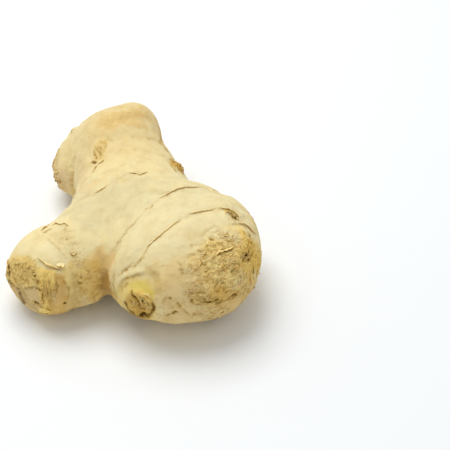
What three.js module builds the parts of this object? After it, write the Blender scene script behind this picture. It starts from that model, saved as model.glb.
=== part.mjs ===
// A whole fresh ginger rhizome, grown as one piece: a ringed stem that swells into a broad bulb at the
// front, a finger broken off short on the left, a rounded lobe at the back with a nub beside it, and a
// bud at the foot of the bulb. Millimetres, +Z up, lying on z = 0 on three small flat spots.
//
// The body is the zero level of one function of space: each lobe is a chain of oval sections, and the
// lobes flow into each other through a smooth minimum. The level is meshed on a grid, one vertex a cell,
// and the growth rings, buds, scars and bark are then raised from it by formula.
import * as THREE from "three";
import { ImprovedNoise } from "three/addons/math/ImprovedNoise.js";

// ---- Driving dimensions (mm) ----

// A lobe is a row of sections along its line of growth: x, y, z, half width, half height.
const TRUNK = [
  [-9.5, 29.5, 17.5, 15, 18],
  [-5.5, 20.5, 17, 17.5, 15.5],
  [-1, 6.5, 18, 19, 15.5],
  [7, -10.5, 18.5, 19.5, 17.5],
  [14.5, -20.5, 18.5, 27.5, 18.5],
];
const BACK_LOBE = [
  [-7, 25.5, 17, 11.5, 13.5],
  [-2.5, 39.5, 17.5, 9.5, 14],
];
const FINGER = [
  [-7.5, -5.5, 18, 14.5, 14],
  [-18, -20, 15, 14.5, 14.5],
  [-27, -25.5, 13.5, 15.5, 14],
];
const NUB = [
  [-13, 30.5, 17, 11.5, 11.5],
  [-17.5, 29.5, 14.5, 15, 11],
];
const BUD = [
  [7, -27.5, 15, 14, 13],
  [2.5, -30.5, 13, 9, 10],
];
const KNOB = [
  [16, -27.5, 18, 17.5, 17.5],
  [22.5, -28, 17.5, 15.5, 16],
];

// How softly each lobe runs into the rest.
const BLEND = { backLobe: 6, bud: 4, knob: 7, finger: 8, nub: 5 };

// Where the finger was snapped off: a point on the break, its outward direction, and its rounding.
const FINGER_BREAK = { at: [-34.5, -37, 14], facing: [-0.6, -0.78, 0.15], rounding: 5 };

// Growth rings. Each runs round a lobe through the point at, across the heading (degrees from -Y towards
// +X); lean tips it forward, curve bows it by that many mm for each square mm to the side, and reach is
// how far from that point it shows.
const ROUND = 90;
const RINGS = [
  { lobe: "trunk", at: [-1.9, 21, 32], heading: 12, lean: -0.1, curve: -0.011, depth: 0.4, reach: ROUND },
  { lobe: "trunk", at: [-4.9, -3.5, 34.6], heading: 15, lean: 0, curve: 0.0135, depth: 0.7, reach: ROUND },
  { lobe: "trunk", at: [6.1, -19.3, 36.9], heading: 42, lean: -0.1, curve: 0.005, depth: 1, reach: ROUND },
  { lobe: "trunk", at: [12.6, -30.9, 37.8], heading: 36, lean: -0.1, curve: 0, depth: 1, reach: ROUND },
  { lobe: "trunk", at: [34.8, -24.1, 32.6], heading: 39, lean: 0.2, curve: 0, depth: 0.6, reach: 18 },
  { lobe: "bud", at: [-0.8, -41, 25.1], heading: -18, lean: 0, curve: 0, depth: 0.7, reach: 14 },
  { lobe: "finger", at: [-21.7, -33, 25], heading: -63, lean: 0, curve: -0.006, depth: 0.6, reach: ROUND },
  { lobe: "finger", at: [-20.2, -38.1, 18.7], heading: -30, lean: 0.2, curve: 0, depth: 0.5, reach: 16 },
  { lobe: "nub", at: [-25.5, 25.5, 19], heading: -95, lean: 0, curve: 0, depth: 0.4, reach: ROUND },
];
const GROOVE_WIDTH = 1.8;
const LIP_AWAY = 3.2;
const LIP_WIDTH = 1.8;
const LIP_SHARE = 0.4;
const RING_WOBBLE = 0.8;
const RING_WOBBLE_LENGTH = 11;

// Buds, bud scars and root scars: rise is the height of the middle, rim the height of the edge round it.
const SPOTS = [
  { what: "bud scar under the bulb", at: [3.2, -45, 16.6], radius: 4.6, rise: -1.1, rim: 0.7 },
  { what: "bud scar on the back lobe", at: [-13.1, 17, 30.1], radius: 4, rise: 0.9, rim: -0.5 },
  { what: "dry bud beside the neck", at: [13.7, 10.9, 27], radius: 2.9, rise: 1.7, rim: -0.3 },
  { what: "gash behind the bulb", at: [32.6, -21.4, 34], radius: 2.2, rise: -1.3, rim: 0.4 },
  { what: "root scar on the bulb", at: [21.5, -47.1, 21.8], radius: 2.6, rise: 0.4, rim: -0.5 },
  { what: "root scar low on the bulb", at: [41, -29.5, 10], radius: 2.5, rise: 0.8, rim: -0.4 },
  { what: "bud on the far side of the bulb", at: [37, -6, 17], radius: 4.2, rise: 2.2, rim: -0.5 },
  { what: "root scar behind the finger", at: [-26.5, -10, 13], radius: 2.4, rise: 0.7, rim: -0.4 },
  { what: "bud low on the back lobe", at: [8.7, 30.5, 14], radius: 3.4, rise: 1.5, rim: -0.4 },
];

// Patches of rough, corky bark: a centre, the reach of the patch and the height of its bumps.
const BARK = [
  { at: [32.2, -38.4, 29.2], reach: 15, height: 0.55 },
  { at: [-15.2, -33.7, 20], reach: 10, height: 0.4 },
  { at: [-33.5, -36.5, 15], reach: 13, height: 0.7 },
  { at: [-11.5, 44.5, 20], reach: 12, height: 0.5 },
];
const BARK_BUMP = 5;
const SWELL_HEIGHT = 0.4;
const SWELL_LENGTH = 17;

// ---- Meshing ----

const CELL = 2.25;
const MARGIN = 4;
const STEPS_PER_SPAN = 4;
const RELAX_ROUNDS = 3;
const PROJECTIONS = 3;
const PROBE = 0.02;
const LEAST_SLOPE = 0.25;

const noise = new ImprovedNoise();

// Smooth minimum and maximum of two levels, rounded over about k.
function smoothMin(a, b, k) {
  const share = THREE.MathUtils.clamp(0.5 + (0.5 * (b - a)) / k, 0, 1);
  return THREE.MathUtils.lerp(b, a, share) - k * share * (1 - share);
}

function smoothMax(a, b, k) {
  return -smoothMin(-a, -b, k);
}

// The row of sections with more between them, on a Catmull-Rom curve through every value.
function refine(sections) {
  const first = sections[0];
  const last = sections[sections.length - 1];
  const before = first.map((v, i) => 2 * v - sections[1][i]);
  const after = last.map((v, i) => 2 * v - sections[sections.length - 2][i]);
  const all = [before, ...sections, after];
  const fine = [];
  for (let span = 1; span < all.length - 2; span++) {
    for (let step = 0; step < STEPS_PER_SPAN; step++) {
      const t = step / STEPS_PER_SPAN;
      fine.push(first.map((_, i) => catmullRom(t, all.slice(span - 1, span + 3).map((s) => s[i]))));
    }
  }
  fine.push(last);
  return fine;
}

function catmullRom(t, [a, b, c, d]) {
  const bend = (2 * a - 5 * b + 4 * c - d) * t * t + (3 * b - a - 3 * c + d) * t * t * t;
  return 0.5 * (2 * b + (c - a) * t + bend);
}

// A lobe as a list of short oval rods, ready to be measured from any point.
function lobe(sections) {
  const fine = sections.length > 2 ? refine(sections) : sections;
  return fine.slice(1).map((to, i) => {
    const from = fine[i];
    const start = new THREE.Vector3(from[0], from[1], from[2]);
    const along = new THREE.Vector3(to[0], to[1], to[2]).sub(start);
    const length = along.length();
    along.normalize();
    const side = new THREE.Vector3(0, 0, 1).cross(along).normalize().negate();
    const up = side.clone().cross(along);
    return { start, along, side, up, length, width: [from[3], to[3]], height: [from[4], to[4]] };
  });
}

const offset = new THREE.Vector3();

// The level of one lobe at p: about the distance in mm outside its skin, negative inside.
function lobeLevel(rods, p) {
  let level = Infinity;
  for (const rod of rods) {
    offset.subVectors(p, rod.start);
    const run = offset.dot(rod.along);
    const t = THREE.MathUtils.clamp(run / rod.length, 0, 1);
    const width = THREE.MathUtils.lerp(rod.width[0], rod.width[1], t);
    const height = THREE.MathUtils.lerp(rod.height[0], rod.height[1], t);
    const past = (run - t * rod.length) / width;
    const r = Math.hypot(past, offset.dot(rod.side) / width, offset.dot(rod.up) / height);
    level = Math.min(level, (r - 1) * Math.min(width, height));
  }
  return level;
}

function breakLevel(face, p) {
  return face.normal.dot(p) - face.level;
}

function breakFace({ at, facing }) {
  const normal = new THREE.Vector3(...facing).normalize();
  return { normal, level: normal.dot(new THREE.Vector3(...at)) };
}

const trunk = lobe(TRUNK);
const backLobe = lobe(BACK_LOBE);
const finger = lobe(FINGER);
const nub = lobe(NUB);
const bud = lobe(BUD);
const knob = lobe(KNOB);
const fingerBreak = breakFace(FINGER_BREAK);

// The smooth body without relief, and how far p belongs to each lobe, from 0 to 1.
function body(p) {
  const stem = smoothMin(lobeLevel(trunk, p), lobeLevel(backLobe, p), BLEND.backLobe);
  const budOnly = lobeLevel(bud, p);
  const bulb = smoothMin(smoothMin(stem, budOnly, BLEND.bud), lobeLevel(knob, p), BLEND.knob);
  const fingerOnly = smoothMax(lobeLevel(finger, p), breakLevel(fingerBreak, p), FINGER_BREAK.rounding);
  const nubOnly = lobeLevel(nub, p);
  const level = smoothMin(smoothMin(bulb, fingerOnly, BLEND.finger), nubOnly, BLEND.nub);
  const share = {
    finger: ownership(bulb, fingerOnly, BLEND.finger),
    nub: ownership(bulb, nubOnly, BLEND.nub),
    bud: ownership(stem, budOnly, BLEND.bud),
  };
  share.trunk = (1 - share.finger) * (1 - share.nub);
  return { level, share };
}

const bodyLevel = (p) => body(p).level;

// 1 where the second level is the lower, 0 where the first is, and even over the blend between them.
function ownership(first, second, blend) {
  return THREE.MathUtils.smoothstep(first - second, -blend, blend);
}

const rings = RINGS.map(({ at, heading, lean, ...rest }) => {
  const turn = THREE.MathUtils.degToRad(heading);
  return {
    ...rest,
    centre: new THREE.Vector3(...at),
    normal: new THREE.Vector3(Math.sin(turn), -Math.cos(turn), lean).normalize(),
    side: new THREE.Vector3(Math.cos(turn), Math.sin(turn), 0),
  };
});

const bell = (distance, width) => Math.exp(-((distance / width) ** 2));

// How far p is from a ring's line, along the lobe; the line wanders a little.
function acrossRing(ring, p) {
  const wander = noise.noise(p.x / RING_WOBBLE_LENGTH, p.y / RING_WOBBLE_LENGTH, p.z / RING_WOBBLE_LENGTH);
  offset.subVectors(p, ring.centre);
  return offset.dot(ring.normal) - ring.curve * offset.dot(ring.side) ** 2 + RING_WOBBLE * wander;
}

// How strongly a ring shows at p: on its own lobe, and within its reach.
function ringShows(ring, p, share) {
  return share[ring.lobe] * bell(p.distanceTo(ring.centre), ring.reach);
}

// A ring is a groove with a low lip on each side.
function ringRelief(p, share) {
  let relief = 0;
  for (const ring of rings) {
    const across = acrossRing(ring, p);
    const lip = LIP_SHARE * bell(Math.abs(across) - LIP_AWAY, LIP_WIDTH);
    relief += ring.depth * ringShows(ring, p, share) * (lip - bell(across, GROOVE_WIDTH));
  }
  return relief;
}

// A spot is a round rise or hollow with an edge of its own round it.
function spotRelief(p) {
  let relief = 0;
  for (const spot of SPOTS) {
    const r = Math.hypot(p.x - spot.at[0], p.y - spot.at[1], p.z - spot.at[2]) / spot.radius;
    relief += spot.rise * bell(r, 0.75) + spot.rim * bell(r - 1.15, 0.3);
  }
  return relief;
}

// Bark is small bumps inside its patches, on top of a slow swell of the whole skin.
function barkRelief(p) {
  const bump = noise.noise(p.x / BARK_BUMP, p.y / BARK_BUMP, p.z / BARK_BUMP);
  const swell = noise.noise(p.z / SWELL_LENGTH, p.x / SWELL_LENGTH, p.y / SWELL_LENGTH);
  let height = 0;
  for (const patch of BARK) {
    const r = Math.hypot(p.x - patch.at[0], p.y - patch.at[1], p.z - patch.at[2]) / patch.reach;
    height = Math.max(height, patch.height * (1 - THREE.MathUtils.smoothstep(r, 0.6, 1)));
  }
  return 2 * height * bump + SWELL_HEIGHT * swell;
}

// All the relief at a point of the body, in mm outwards.
function relief(p) {
  return ringRelief(p, body(p).share) + spotRelief(p) + barkRelief(p);
}

// The box of every section with its width round it, and a margin.
function extent() {
  const box = new THREE.Box3();
  for (const [x, y, z, width, height] of [TRUNK, BACK_LOBE, FINGER, NUB, BUD, KNOB].flat()) {
    const reach = Math.max(width, height);
    box.expandByPoint(new THREE.Vector3(x - reach, y - reach, z - height));
    box.expandByPoint(new THREE.Vector3(x + reach, y + reach, z + height));
  }
  return box.expandByScalar(MARGIN);
}

// Naive surface nets: one vertex in each cell that the skin passes through, at the mean of its edge
// crossings, and one four-sided face across each grid edge that the skin cuts.
function surfaceNet(box) {
  const size = box.getSize(new THREE.Vector3()).divideScalar(CELL).ceil();
  const [nx, ny, nz] = [size.x + 1, size.y + 1, size.z + 1];
  const index = (i, j, k) => i + nx * (j + ny * k);
  const level = new Float64Array(nx * ny * nz);
  const p = new THREE.Vector3();
  for (let k = 0; k < nz; k++) {
    for (let j = 0; j < ny; j++) {
      for (let i = 0; i < nx; i++) {
        p.set(i, j, k).multiplyScalar(CELL).add(box.min);
        level[index(i, j, k)] = bodyLevel(p);
      }
    }
  }

  const vertices = [];
  const vertexOf = new Map();
  for (let k = 0; k < nz - 1; k++) {
    for (let j = 0; j < ny - 1; j++) {
      for (let i = 0; i < nx - 1; i++) {
        const middle = cellVertex(level, index, i, j, k);
        if (!middle) continue;
        vertexOf.set(index(i, j, k), vertices.length);
        vertices.push(middle.multiplyScalar(CELL).add(box.min));
      }
    }
  }

  const quads = [];
  const steps = [[1, 0, 0], [0, 1, 0], [0, 0, 1]];
  for (let k = 1; k < nz - 1; k++) {
    for (let j = 1; j < ny - 1; j++) {
      for (let i = 1; i < nx - 1; i++) {
        const here = level[index(i, j, k)] < 0;
        steps.forEach(([di, dj, dk], axis) => {
          const there = level[index(i + di, j + dj, k + dk)] < 0;
          if (here === there) return;
          const [u, v] = [steps[(axis + 1) % 3], steps[(axis + 2) % 3]];
          const cell = (a, b) => {
            const back = [0, 1, 2].map((n) => a * u[n] + b * v[n]);
            return vertexOf.get(index(i - back[0], j - back[1], k - back[2]));
          };
          const around = [cell(1, 1), cell(0, 1), cell(0, 0), cell(1, 0)];
          quads.push(here ? around : around.reverse());
        });
      }
    }
  }
  return { vertices, quads };
}

// The mean of the points where the skin crosses a cell's twelve edges, in cells, or null if none does.
function cellVertex(level, index, i, j, k) {
  const sum = new THREE.Vector3();
  let crossings = 0;
  for (let axis = 0; axis < 3; axis++) {
    for (const a of [0, 1]) {
      for (const b of [0, 1]) {
        const from = [i, j, k];
        from[(axis + 1) % 3] += a;
        from[(axis + 2) % 3] += b;
        const to = [...from];
        to[axis] += 1;
        const [inner, outer] = [level[index(...from)], level[index(...to)]];
        if (inner < 0 === outer < 0) continue;
        from[axis] += inner / (inner - outer);
        sum.add(new THREE.Vector3(...from));
        crossings += 1;
      }
    }
  }
  return crossings ? sum.divideScalar(crossings) : null;
}

// The slope of the body's level at p.
function slopeAt(p) {
  const level = bodyLevel(p);
  const slope = new THREE.Vector3();
  for (const axis of ["x", "y", "z"]) {
    const probe = p.clone();
    probe[axis] += PROBE;
    slope[axis] = (bodyLevel(probe) - level) / PROBE;
  }
  return slope;
}

// Newton steps along the slope of the level, which end on the body.
function pullOntoBody(vertex) {
  for (let n = 0; n < PROJECTIONS; n++) {
    const slope = slopeAt(vertex);
    const step = bodyLevel(vertex) / Math.max(slope.lengthSq(), LEAST_SLOPE);
    vertex.addScaledVector(slope, -THREE.MathUtils.clamp(step, -CELL / 2, CELL / 2));
  }
}

// The vertices that share a face with each vertex.
function neighbours(vertices, quads) {
  const around = vertices.map(() => new Set());
  for (const quad of quads) {
    for (const a of quad) {
      for (const b of quad) if (a !== b) around[a].add(b);
    }
  }
  return around.map((set) => [...set]);
}

// Each vertex moves half way to the mean of its neighbours and back onto the body.
function relax(vertices, around) {
  const means = around.map((set) => {
    const sum = new THREE.Vector3();
    for (const m of set) sum.add(vertices[m]);
    return sum.divideScalar(set.length);
  });
  vertices.forEach((vertex, n) => {
    vertex.lerp(means[n], 0.5);
    pullOntoBody(vertex);
  });
}

// Each four-sided face is split along its shorter diagonal.
function triangles(vertices, quads) {
  return quads.flatMap(([a, b, c, d]) => {
    const acrossAC = vertices[a].distanceTo(vertices[c]);
    const acrossBD = vertices[b].distanceTo(vertices[d]);
    return acrossAC < acrossBD ? [a, b, c, a, c, d] : [a, b, d, b, c, d];
  });
}

// The closed skin, with everything below the surface z = 0 pressed flat onto it.
function rootGeometry() {
  const { vertices, quads } = surfaceNet(extent());
  const around = neighbours(vertices, quads);
  for (let n = 0; n < RELAX_ROUNDS; n++) relax(vertices, around);
  for (const vertex of vertices) {
    vertex.addScaledVector(slopeAt(vertex).normalize(), relief(vertex));
    vertex.z = Math.max(vertex.z, 0);
  }
  const geometry = new THREE.BufferGeometry();
  geometry.setFromPoints(vertices);
  geometry.setIndex(triangles(vertices, quads));
  geometry.computeVertexNormals();
  return geometry;
}

const skin = new THREE.MeshStandardMaterial({ color: 0xdcc79a, roughness: 0.65, metalness: 0 });
const rhizome = new THREE.Mesh(rootGeometry(), skin);
rhizome.name = "rhizome";

const ginger = new THREE.Group();
ginger.add(rhizome);

export default ginger;
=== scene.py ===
"""The looks of a whole fresh ginger rhizome: its skin, rings, cracks, bark, buds and papery edges.

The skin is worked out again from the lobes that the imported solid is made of, at a finer mesh, and it
stands for that solid. Lengths are millimetres until a mesh is written, and metres from there on. Places
in the frame are counted in its pixels from the top left corner, and given as x, y, x, y and so on.
"""

import logging
import math
from dataclasses import dataclass, field
from enum import Enum
from typing import Any, Sequence

import bpy
import numpy as np
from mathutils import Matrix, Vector


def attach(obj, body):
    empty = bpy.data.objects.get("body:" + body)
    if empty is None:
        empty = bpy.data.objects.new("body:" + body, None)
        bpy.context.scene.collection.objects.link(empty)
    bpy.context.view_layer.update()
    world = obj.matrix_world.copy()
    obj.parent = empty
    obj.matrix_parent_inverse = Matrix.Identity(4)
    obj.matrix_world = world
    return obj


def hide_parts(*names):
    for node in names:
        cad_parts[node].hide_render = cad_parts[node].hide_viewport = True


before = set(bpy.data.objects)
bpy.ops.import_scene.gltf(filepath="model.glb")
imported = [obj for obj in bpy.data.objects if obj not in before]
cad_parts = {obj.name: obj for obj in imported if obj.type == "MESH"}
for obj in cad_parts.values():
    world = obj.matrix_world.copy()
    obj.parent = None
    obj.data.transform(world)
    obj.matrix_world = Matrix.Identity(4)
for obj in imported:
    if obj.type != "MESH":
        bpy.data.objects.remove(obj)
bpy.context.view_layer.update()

Array = np.ndarray
Point = tuple[float, float, float]
Places = tuple[float, ...]
Section = tuple[float, float, float, float, float]
Colour = tuple[float, float, float]
Material = bpy.types.Material
Piece = bpy.types.Object

MM = 0.001
ROOT_NODE = "rhizome"
BODY = "root"
FRAME_PIXELS = 450

log = logging.getLogger("ginger")

# --- Small maths ---


def smooth_min(a: Array, b: Array, k: float) -> Array:
    """The lower of two levels, rounded where they meet over about k.

    Args:
        a: The first level at each point.
        b: The second level at each point.
        k: The width of the rounding, in mm.

    Returns:
        b + (a - b) h - k h (1 - h), where h runs from 0 to 1 as b rises past a.
    """
    h = np.clip(0.5 + 0.5 * (b - a) / k, 0.0, 1.0)
    return b + (a - b) * h - k * h * (1.0 - h)


def smooth_max(a: Array, b: Array, k: float) -> Array:
    """The higher of two levels, rounded over about k."""
    return -smooth_min(-a, -b, k)


def smooth_step(x: Array, low: float, high: float) -> Array:
    """0 below low, 1 above high, and 3 t^2 - 2 t^3 between them."""
    t = np.clip((x - low) / (high - low), 0.0, 1.0)
    return t * t * (3.0 - 2.0 * t)


def bell(x: Array, width: float) -> Array:
    """exp(-(x / width)^2)."""
    return np.exp(-((x / width) ** 2))


def unit(v: Array) -> Array:
    """Each vector along the last axis, scaled to length 1."""
    return v / np.maximum(np.linalg.norm(v, axis=-1, keepdims=True), 1e-12)


def linear(red: int, green: int, blue: int) -> Colour:
    """A screen colour of three numbers up to 255 as the linear colour that a shader takes."""
    return tuple(((c / 255 + 0.055) / 1.055) ** 2.4 for c in (red, green, blue))


def pairs(numbers: Places) -> Array:
    """x, y, x, y and so on, as one place a row."""
    return np.array(numbers, float).reshape(-1, 2)


def away_from(points: Array, start: Array, side: Array) -> Array:
    """How far each point is from the nearest of some straight pieces.

    Args:
        points: One point a row.
        start: The start of each piece, one a row.
        side: The way from there to the piece's end, one a row.

    Returns:
        The least |way - t side|, where t is way . side / side . side, kept between 0 and 1.
    """
    way = points[:, None] - start[None]
    t = np.clip((way * side).sum(-1) / (side * side).sum(-1), 0.0, 1.0)
    return np.linalg.norm(way - t[..., None] * side, axis=-1).min(axis=1)


class Course:
    """A line through a few places of the frame."""

    def __init__(self, places: Places) -> None:
        """Adds up how far along the line each place is.

        Args:
            places: The line's places, across and down in turn.
        """
        self.places = pairs(places)
        steps = np.linalg.norm(np.diff(self.places, axis=0), axis=1)
        self.run = np.concatenate([[0.0], np.cumsum(steps)])
        self.length = self.run[-1]

    def at(self, run: Array) -> Array:
        """The places at some distances along the line."""
        return np.stack([np.interp(run, self.run, self.places[:, axis]) for axis in range(2)], axis=-1)

    def even(self, count: int) -> Array:
        """Some places at even steps of the line."""
        return self.at(np.linspace(0, self.length, count))


class GradientNoise:
    """Smooth seeded noise on a cubic lattice, from about -1 to 1."""

    TABLE = 256

    def __init__(self, seed: int = 7) -> None:
        """Draws the lattice's order and its gradient directions.

        Args:
            seed: The number that the draw starts from.
        """
        draw = np.random.default_rng(seed)
        self.order = np.tile(draw.permutation(self.TABLE), 3)
        self.gradients = unit(draw.normal(size=(self.TABLE, 3)))

    def at(self, points: Array, size: float) -> Array:
        """The noise at each point.

        Each corner of a point's lattice cell adds the dot product of its gradient with the way to the
        point, weighted by the fade curve 6 t^5 - 15 t^4 + 10 t^3 along each axis.

        Args:
            points: One point a row.
            size: The lattice's spacing, in the same unit.

        Returns:
            One number a point.
        """
        scaled = points / size
        cell = np.floor(scaled).astype(np.int64)
        way = scaled - cell
        fade = way**3 * (way * (way * 6.0 - 15.0) + 10.0)
        total = np.zeros(len(points))
        for corner in np.ndindex(2, 2, 2):
            index = np.zeros(len(points), np.int64)
            for axis in range(3):
                index = self.order[index + ((cell[:, axis] + corner[axis]) & (self.TABLE - 1))]
            weight = np.prod(np.where(corner, fade, 1.0 - fade), axis=1)
            total += weight * np.einsum("ij,ij->i", self.gradients[index], way - corner)
        return 1.6 * total

    def fractal(self, points: Array, size: float, octaves: int, gain: float = 0.5) -> Array:
        """Noise of falling size: each octave has half the last one's size and gain times its height."""
        return sum(gain**n * self.at(points + 17.3 * n, size / 2**n) for n in range(octaves))

    def ridged(self, points: Array, size: float, octaves: int) -> Array:
        """Noise folded into sharp crests: the sum over octaves of 1 - 2 |noise|, halved each time."""
        folded = [1.0 - 2.0 * np.abs(self.at(points + 9.1 * n, size / 2**n)) for n in range(octaves)]
        return sum(0.5**n * crest for n, crest in enumerate(folded))


# --- The form: the same lobes, rings and spots that the solid is made of ---

# How many rods each span between two sections is cut into.
STEPS_PER_SPAN = 4


@dataclass(eq=False)
class Lobe:
    """A chain of oval sections: x, y, z, half width and half height of each."""

    sections: Sequence[Section]
    rods: list[tuple[Array, Array, Array, Array, float, Array, Array]] = field(default_factory=list)

    def __post_init__(self) -> None:
        """Cuts the chain into short oval rods."""
        fine = self._refined(np.array(self.sections, float))
        for start, end in zip(fine[:-1], fine[1:]):
            along = end[:3] - start[:3]
            length = float(np.linalg.norm(along))
            along = along / length
            side = unit(np.cross(along, [0.0, 0.0, 1.0]))
            up = np.cross(side, along)
            self.rods.append((start[:3], along, side, up, length, start[3:], end[3:]))

    @staticmethod
    def _refined(sections: Array) -> Array:
        """More sections between the given ones, on a Catmull-Rom curve through every value.

        Args:
            sections: The given sections, one a row.

        Returns:
            The refined sections. Two sections are left as they are.
        """
        if len(sections) < 3:
            return sections
        ends = 2 * sections[[0, -1]] - sections[[1, -2]]
        rows = np.vstack([ends[0], sections, ends[1]])[:, None, :]
        a, b, c, d = (rows[n : n + len(sections) - 1] for n in range(4))
        t = (np.arange(STEPS_PER_SPAN) / STEPS_PER_SPAN)[None, :, None]
        bend = (2 * a - 5 * b + 4 * c - d) * t**2 + (3 * b - a - 3 * c + d) * t**3
        curve = 0.5 * (2 * b + (c - a) * t + bend)
        return np.vstack([curve.reshape(-1, sections.shape[1]), sections[-1]])

    def level(self, points: Array) -> Array:
        """About how far each point is outside the lobe's skin, negative inside.

        Each rod's level is (r - 1) times its smaller half size, where r is the point's distance from the
        rod counted in its half sizes, and the lobe's level is the lowest of them.

        Args:
            points: One point a row.

        Returns:
            One level a point, in mm.
        """
        lowest = np.full(len(points), np.inf)
        for start, along, side, up, length, sizes, end_sizes in self.rods:
            way = points - start
            run = way @ along
            t = np.clip(run / length, 0.0, 1.0)
            width = sizes[0] + (end_sizes[0] - sizes[0]) * t
            height = sizes[1] + (end_sizes[1] - sizes[1]) * t
            past = (run - t * length) / width
            r = np.sqrt(past**2 + ((way @ side) / width) ** 2 + ((way @ up) / height) ** 2)
            lowest = np.minimum(lowest, (r - 1.0) * np.minimum(width, height))
        return lowest


class Part(Enum):
    """The parts of the root that a ring can run round."""

    STEM = "stem"
    FINGER = "finger"
    NUB = "nub"
    BUD = "bud"


@dataclass(frozen=True)
class RootForm:
    """The smooth body of the root: its lobes, and how they run into each other."""

    trunk: Lobe = Lobe(
        (
            (-9.5, 29.5, 17.5, 15, 18),
            (-5.5, 20.5, 17, 17.5, 15.5),
            (-1, 6.5, 18, 19, 15.5),
            (7, -10.5, 18.5, 19.5, 17.5),
            (14.5, -20.5, 18.5, 27.5, 18.5),
        )
    )
    back_lobe: Lobe = Lobe(((-7, 25.5, 17, 11.5, 13.5), (-2.5, 39.5, 17.5, 9.5, 14)))
    finger: Lobe = Lobe(
        ((-7.5, -5.5, 18, 14.5, 14), (-18, -20, 15, 14.5, 14.5), (-27, -25.5, 13.5, 15.5, 14))
    )
    nub: Lobe = Lobe(((-13, 30.5, 17, 11.5, 11.5), (-17.5, 29.5, 14.5, 15, 11)))
    bud: Lobe = Lobe(((7, -27.5, 15, 14, 13), (2.5, -30.5, 13, 9, 10)))
    knob: Lobe = Lobe(((16, -27.5, 18, 17.5, 17.5), (22.5, -28, 17.5, 15.5, 16)))
    back_blend: float = 6
    bud_blend: float = 4
    knob_blend: float = 7
    finger_blend: float = 8
    nub_blend: float = 5
    break_at: Point = (-34.5, -37, 14)
    break_facing: Point = (-0.6, -0.78, 0.15)
    break_rounding: float = 5

    def break_level(self, points: Array) -> Array:
        """How far each point is in front of the plane that the finger was snapped off at."""
        return (points - np.array(self.break_at, float)) @ unit(np.array(self.break_facing, float))

    def level(self, points: Array, shares: dict[Part, Array] | None = None) -> Array:
        """The body's level at each point: zero on its skin, negative inside.

        Args:
            points: One point a row.
            shares: A dict that is filled with how far each point belongs to each part, if given.

        Returns:
            One level a point, in mm.
        """
        stem = smooth_min(self.trunk.level(points), self.back_lobe.level(points), self.back_blend)
        bud = self.bud.level(points)
        bulb = smooth_min(stem, bud, self.bud_blend)
        bulb = smooth_min(bulb, self.knob.level(points), self.knob_blend)
        finger = smooth_max(self.finger.level(points), self.break_level(points), self.break_rounding)
        nub = self.nub.level(points)
        if shares is not None:
            shares[Part.FINGER] = smooth_step(bulb - finger, -self.finger_blend, self.finger_blend)
            shares[Part.NUB] = smooth_step(bulb - nub, -self.nub_blend, self.nub_blend)
            shares[Part.BUD] = smooth_step(stem - bud, -self.bud_blend, self.bud_blend)
            shares[Part.STEM] = (1 - shares[Part.FINGER]) * (1 - shares[Part.NUB])
        return smooth_min(smooth_min(bulb, finger, self.finger_blend), nub, self.nub_blend)

    def slope(self, points: Array, probe: float = 0.02) -> Array:
        """The slope of the level, by a small step along each axis.

        Args:
            points: Places near the body.
            probe: The length of the step, in mm.

        Returns:
            (level(point + step) - level(point)) / probe along each axis, for each point.
        """
        here = self.level(points)
        steps = np.eye(3) * probe
        return np.stack([(self.level(points + step) - here) / probe for step in steps], axis=1)

    def pulled(self, points: Array, rounds: int = 2, reach: float = 0.6) -> Array:
        """The points, brought onto the body by Newton steps along the slope.

        Args:
            points: One point a row.
            rounds: How many steps.
            reach: The longest a step may be, in mm.

        Returns:
            The points on the body.
        """
        for _ in range(rounds):
            slope = self.slope(points)
            steepness = np.maximum(np.einsum("ij,ij->i", slope, slope), 0.25)
            step = np.clip(self.level(points) / steepness, -reach, reach)
            points = points - step[:, None] * slope
        return points

    def extent(self, margin: float) -> tuple[Array, Array]:
        """The box that holds every section.

        Args:
            margin: The room left round it, in mm.

        Returns:
            Its lowest and its highest corner.
        """
        lobes = (self.trunk, self.back_lobe, self.finger, self.nub, self.bud, self.knob)
        rows = np.array([section for lobe in lobes for section in lobe.sections], float)
        reach = np.maximum(rows[:, 3], rows[:, 4])[:, None]
        return (rows[:, :3] - reach).min(0) - margin, (rows[:, :3] + reach).max(0) + margin


@dataclass(frozen=True)
class Viewpoint:
    """Where the object is seen from: a camera that looks down at it."""

    target: Point = (30.0, -6.2, 16.0)
    distance: float = 478.0
    elevation: float = 42.0
    lens: float = 112.5
    sensor: float = 36.0

    def axes(self) -> tuple[Array, Array, Array]:
        """The camera's own axes.

        Returns:
            The directions to its right, up and backward, which is (0, -cos e, sin e) at elevation e.
        """
        e = math.radians(self.elevation)
        right = np.array([1.0, 0.0, 0.0])
        back = np.array([0.0, -math.cos(e), math.sin(e)])
        return right, np.cross(back, right), back

    def place(self) -> Array:
        """Where the camera stands."""
        return np.array(self.target) + self.distance * self.axes()[2]

    def focal(self) -> float:
        """The lens's focal length, in pixels."""
        return self.lens * FRAME_PIXELS / self.sensor

    def pixels(self, points: Array) -> Array:
        """Where each point lies in the frame.

        Args:
            points: Places in mm.

        Returns:
            The frame's middle + focal length * (right, down) / the distance along the view.
        """
        right, up, back = self.axes()
        way = points - self.place()
        plane = np.stack([way @ right, -(way @ up)], axis=1)
        return FRAME_PIXELS / 2 + self.focal() * plane / -(way @ back)[:, None]

    def rays(self, places: Array) -> Array:
        """The direction that each place of the frame is seen in.

        Args:
            places: Pixels of the frame, across and down.

        Returns:
            u right - v up - back at length 1, with (u, v) from the frame's middle over the focal length.
        """
        right, up, back = self.axes()
        u, v = (places.T - FRAME_PIXELS / 2) / self.focal()
        return unit(u[:, None] * right - v[:, None] * up - back)


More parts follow.
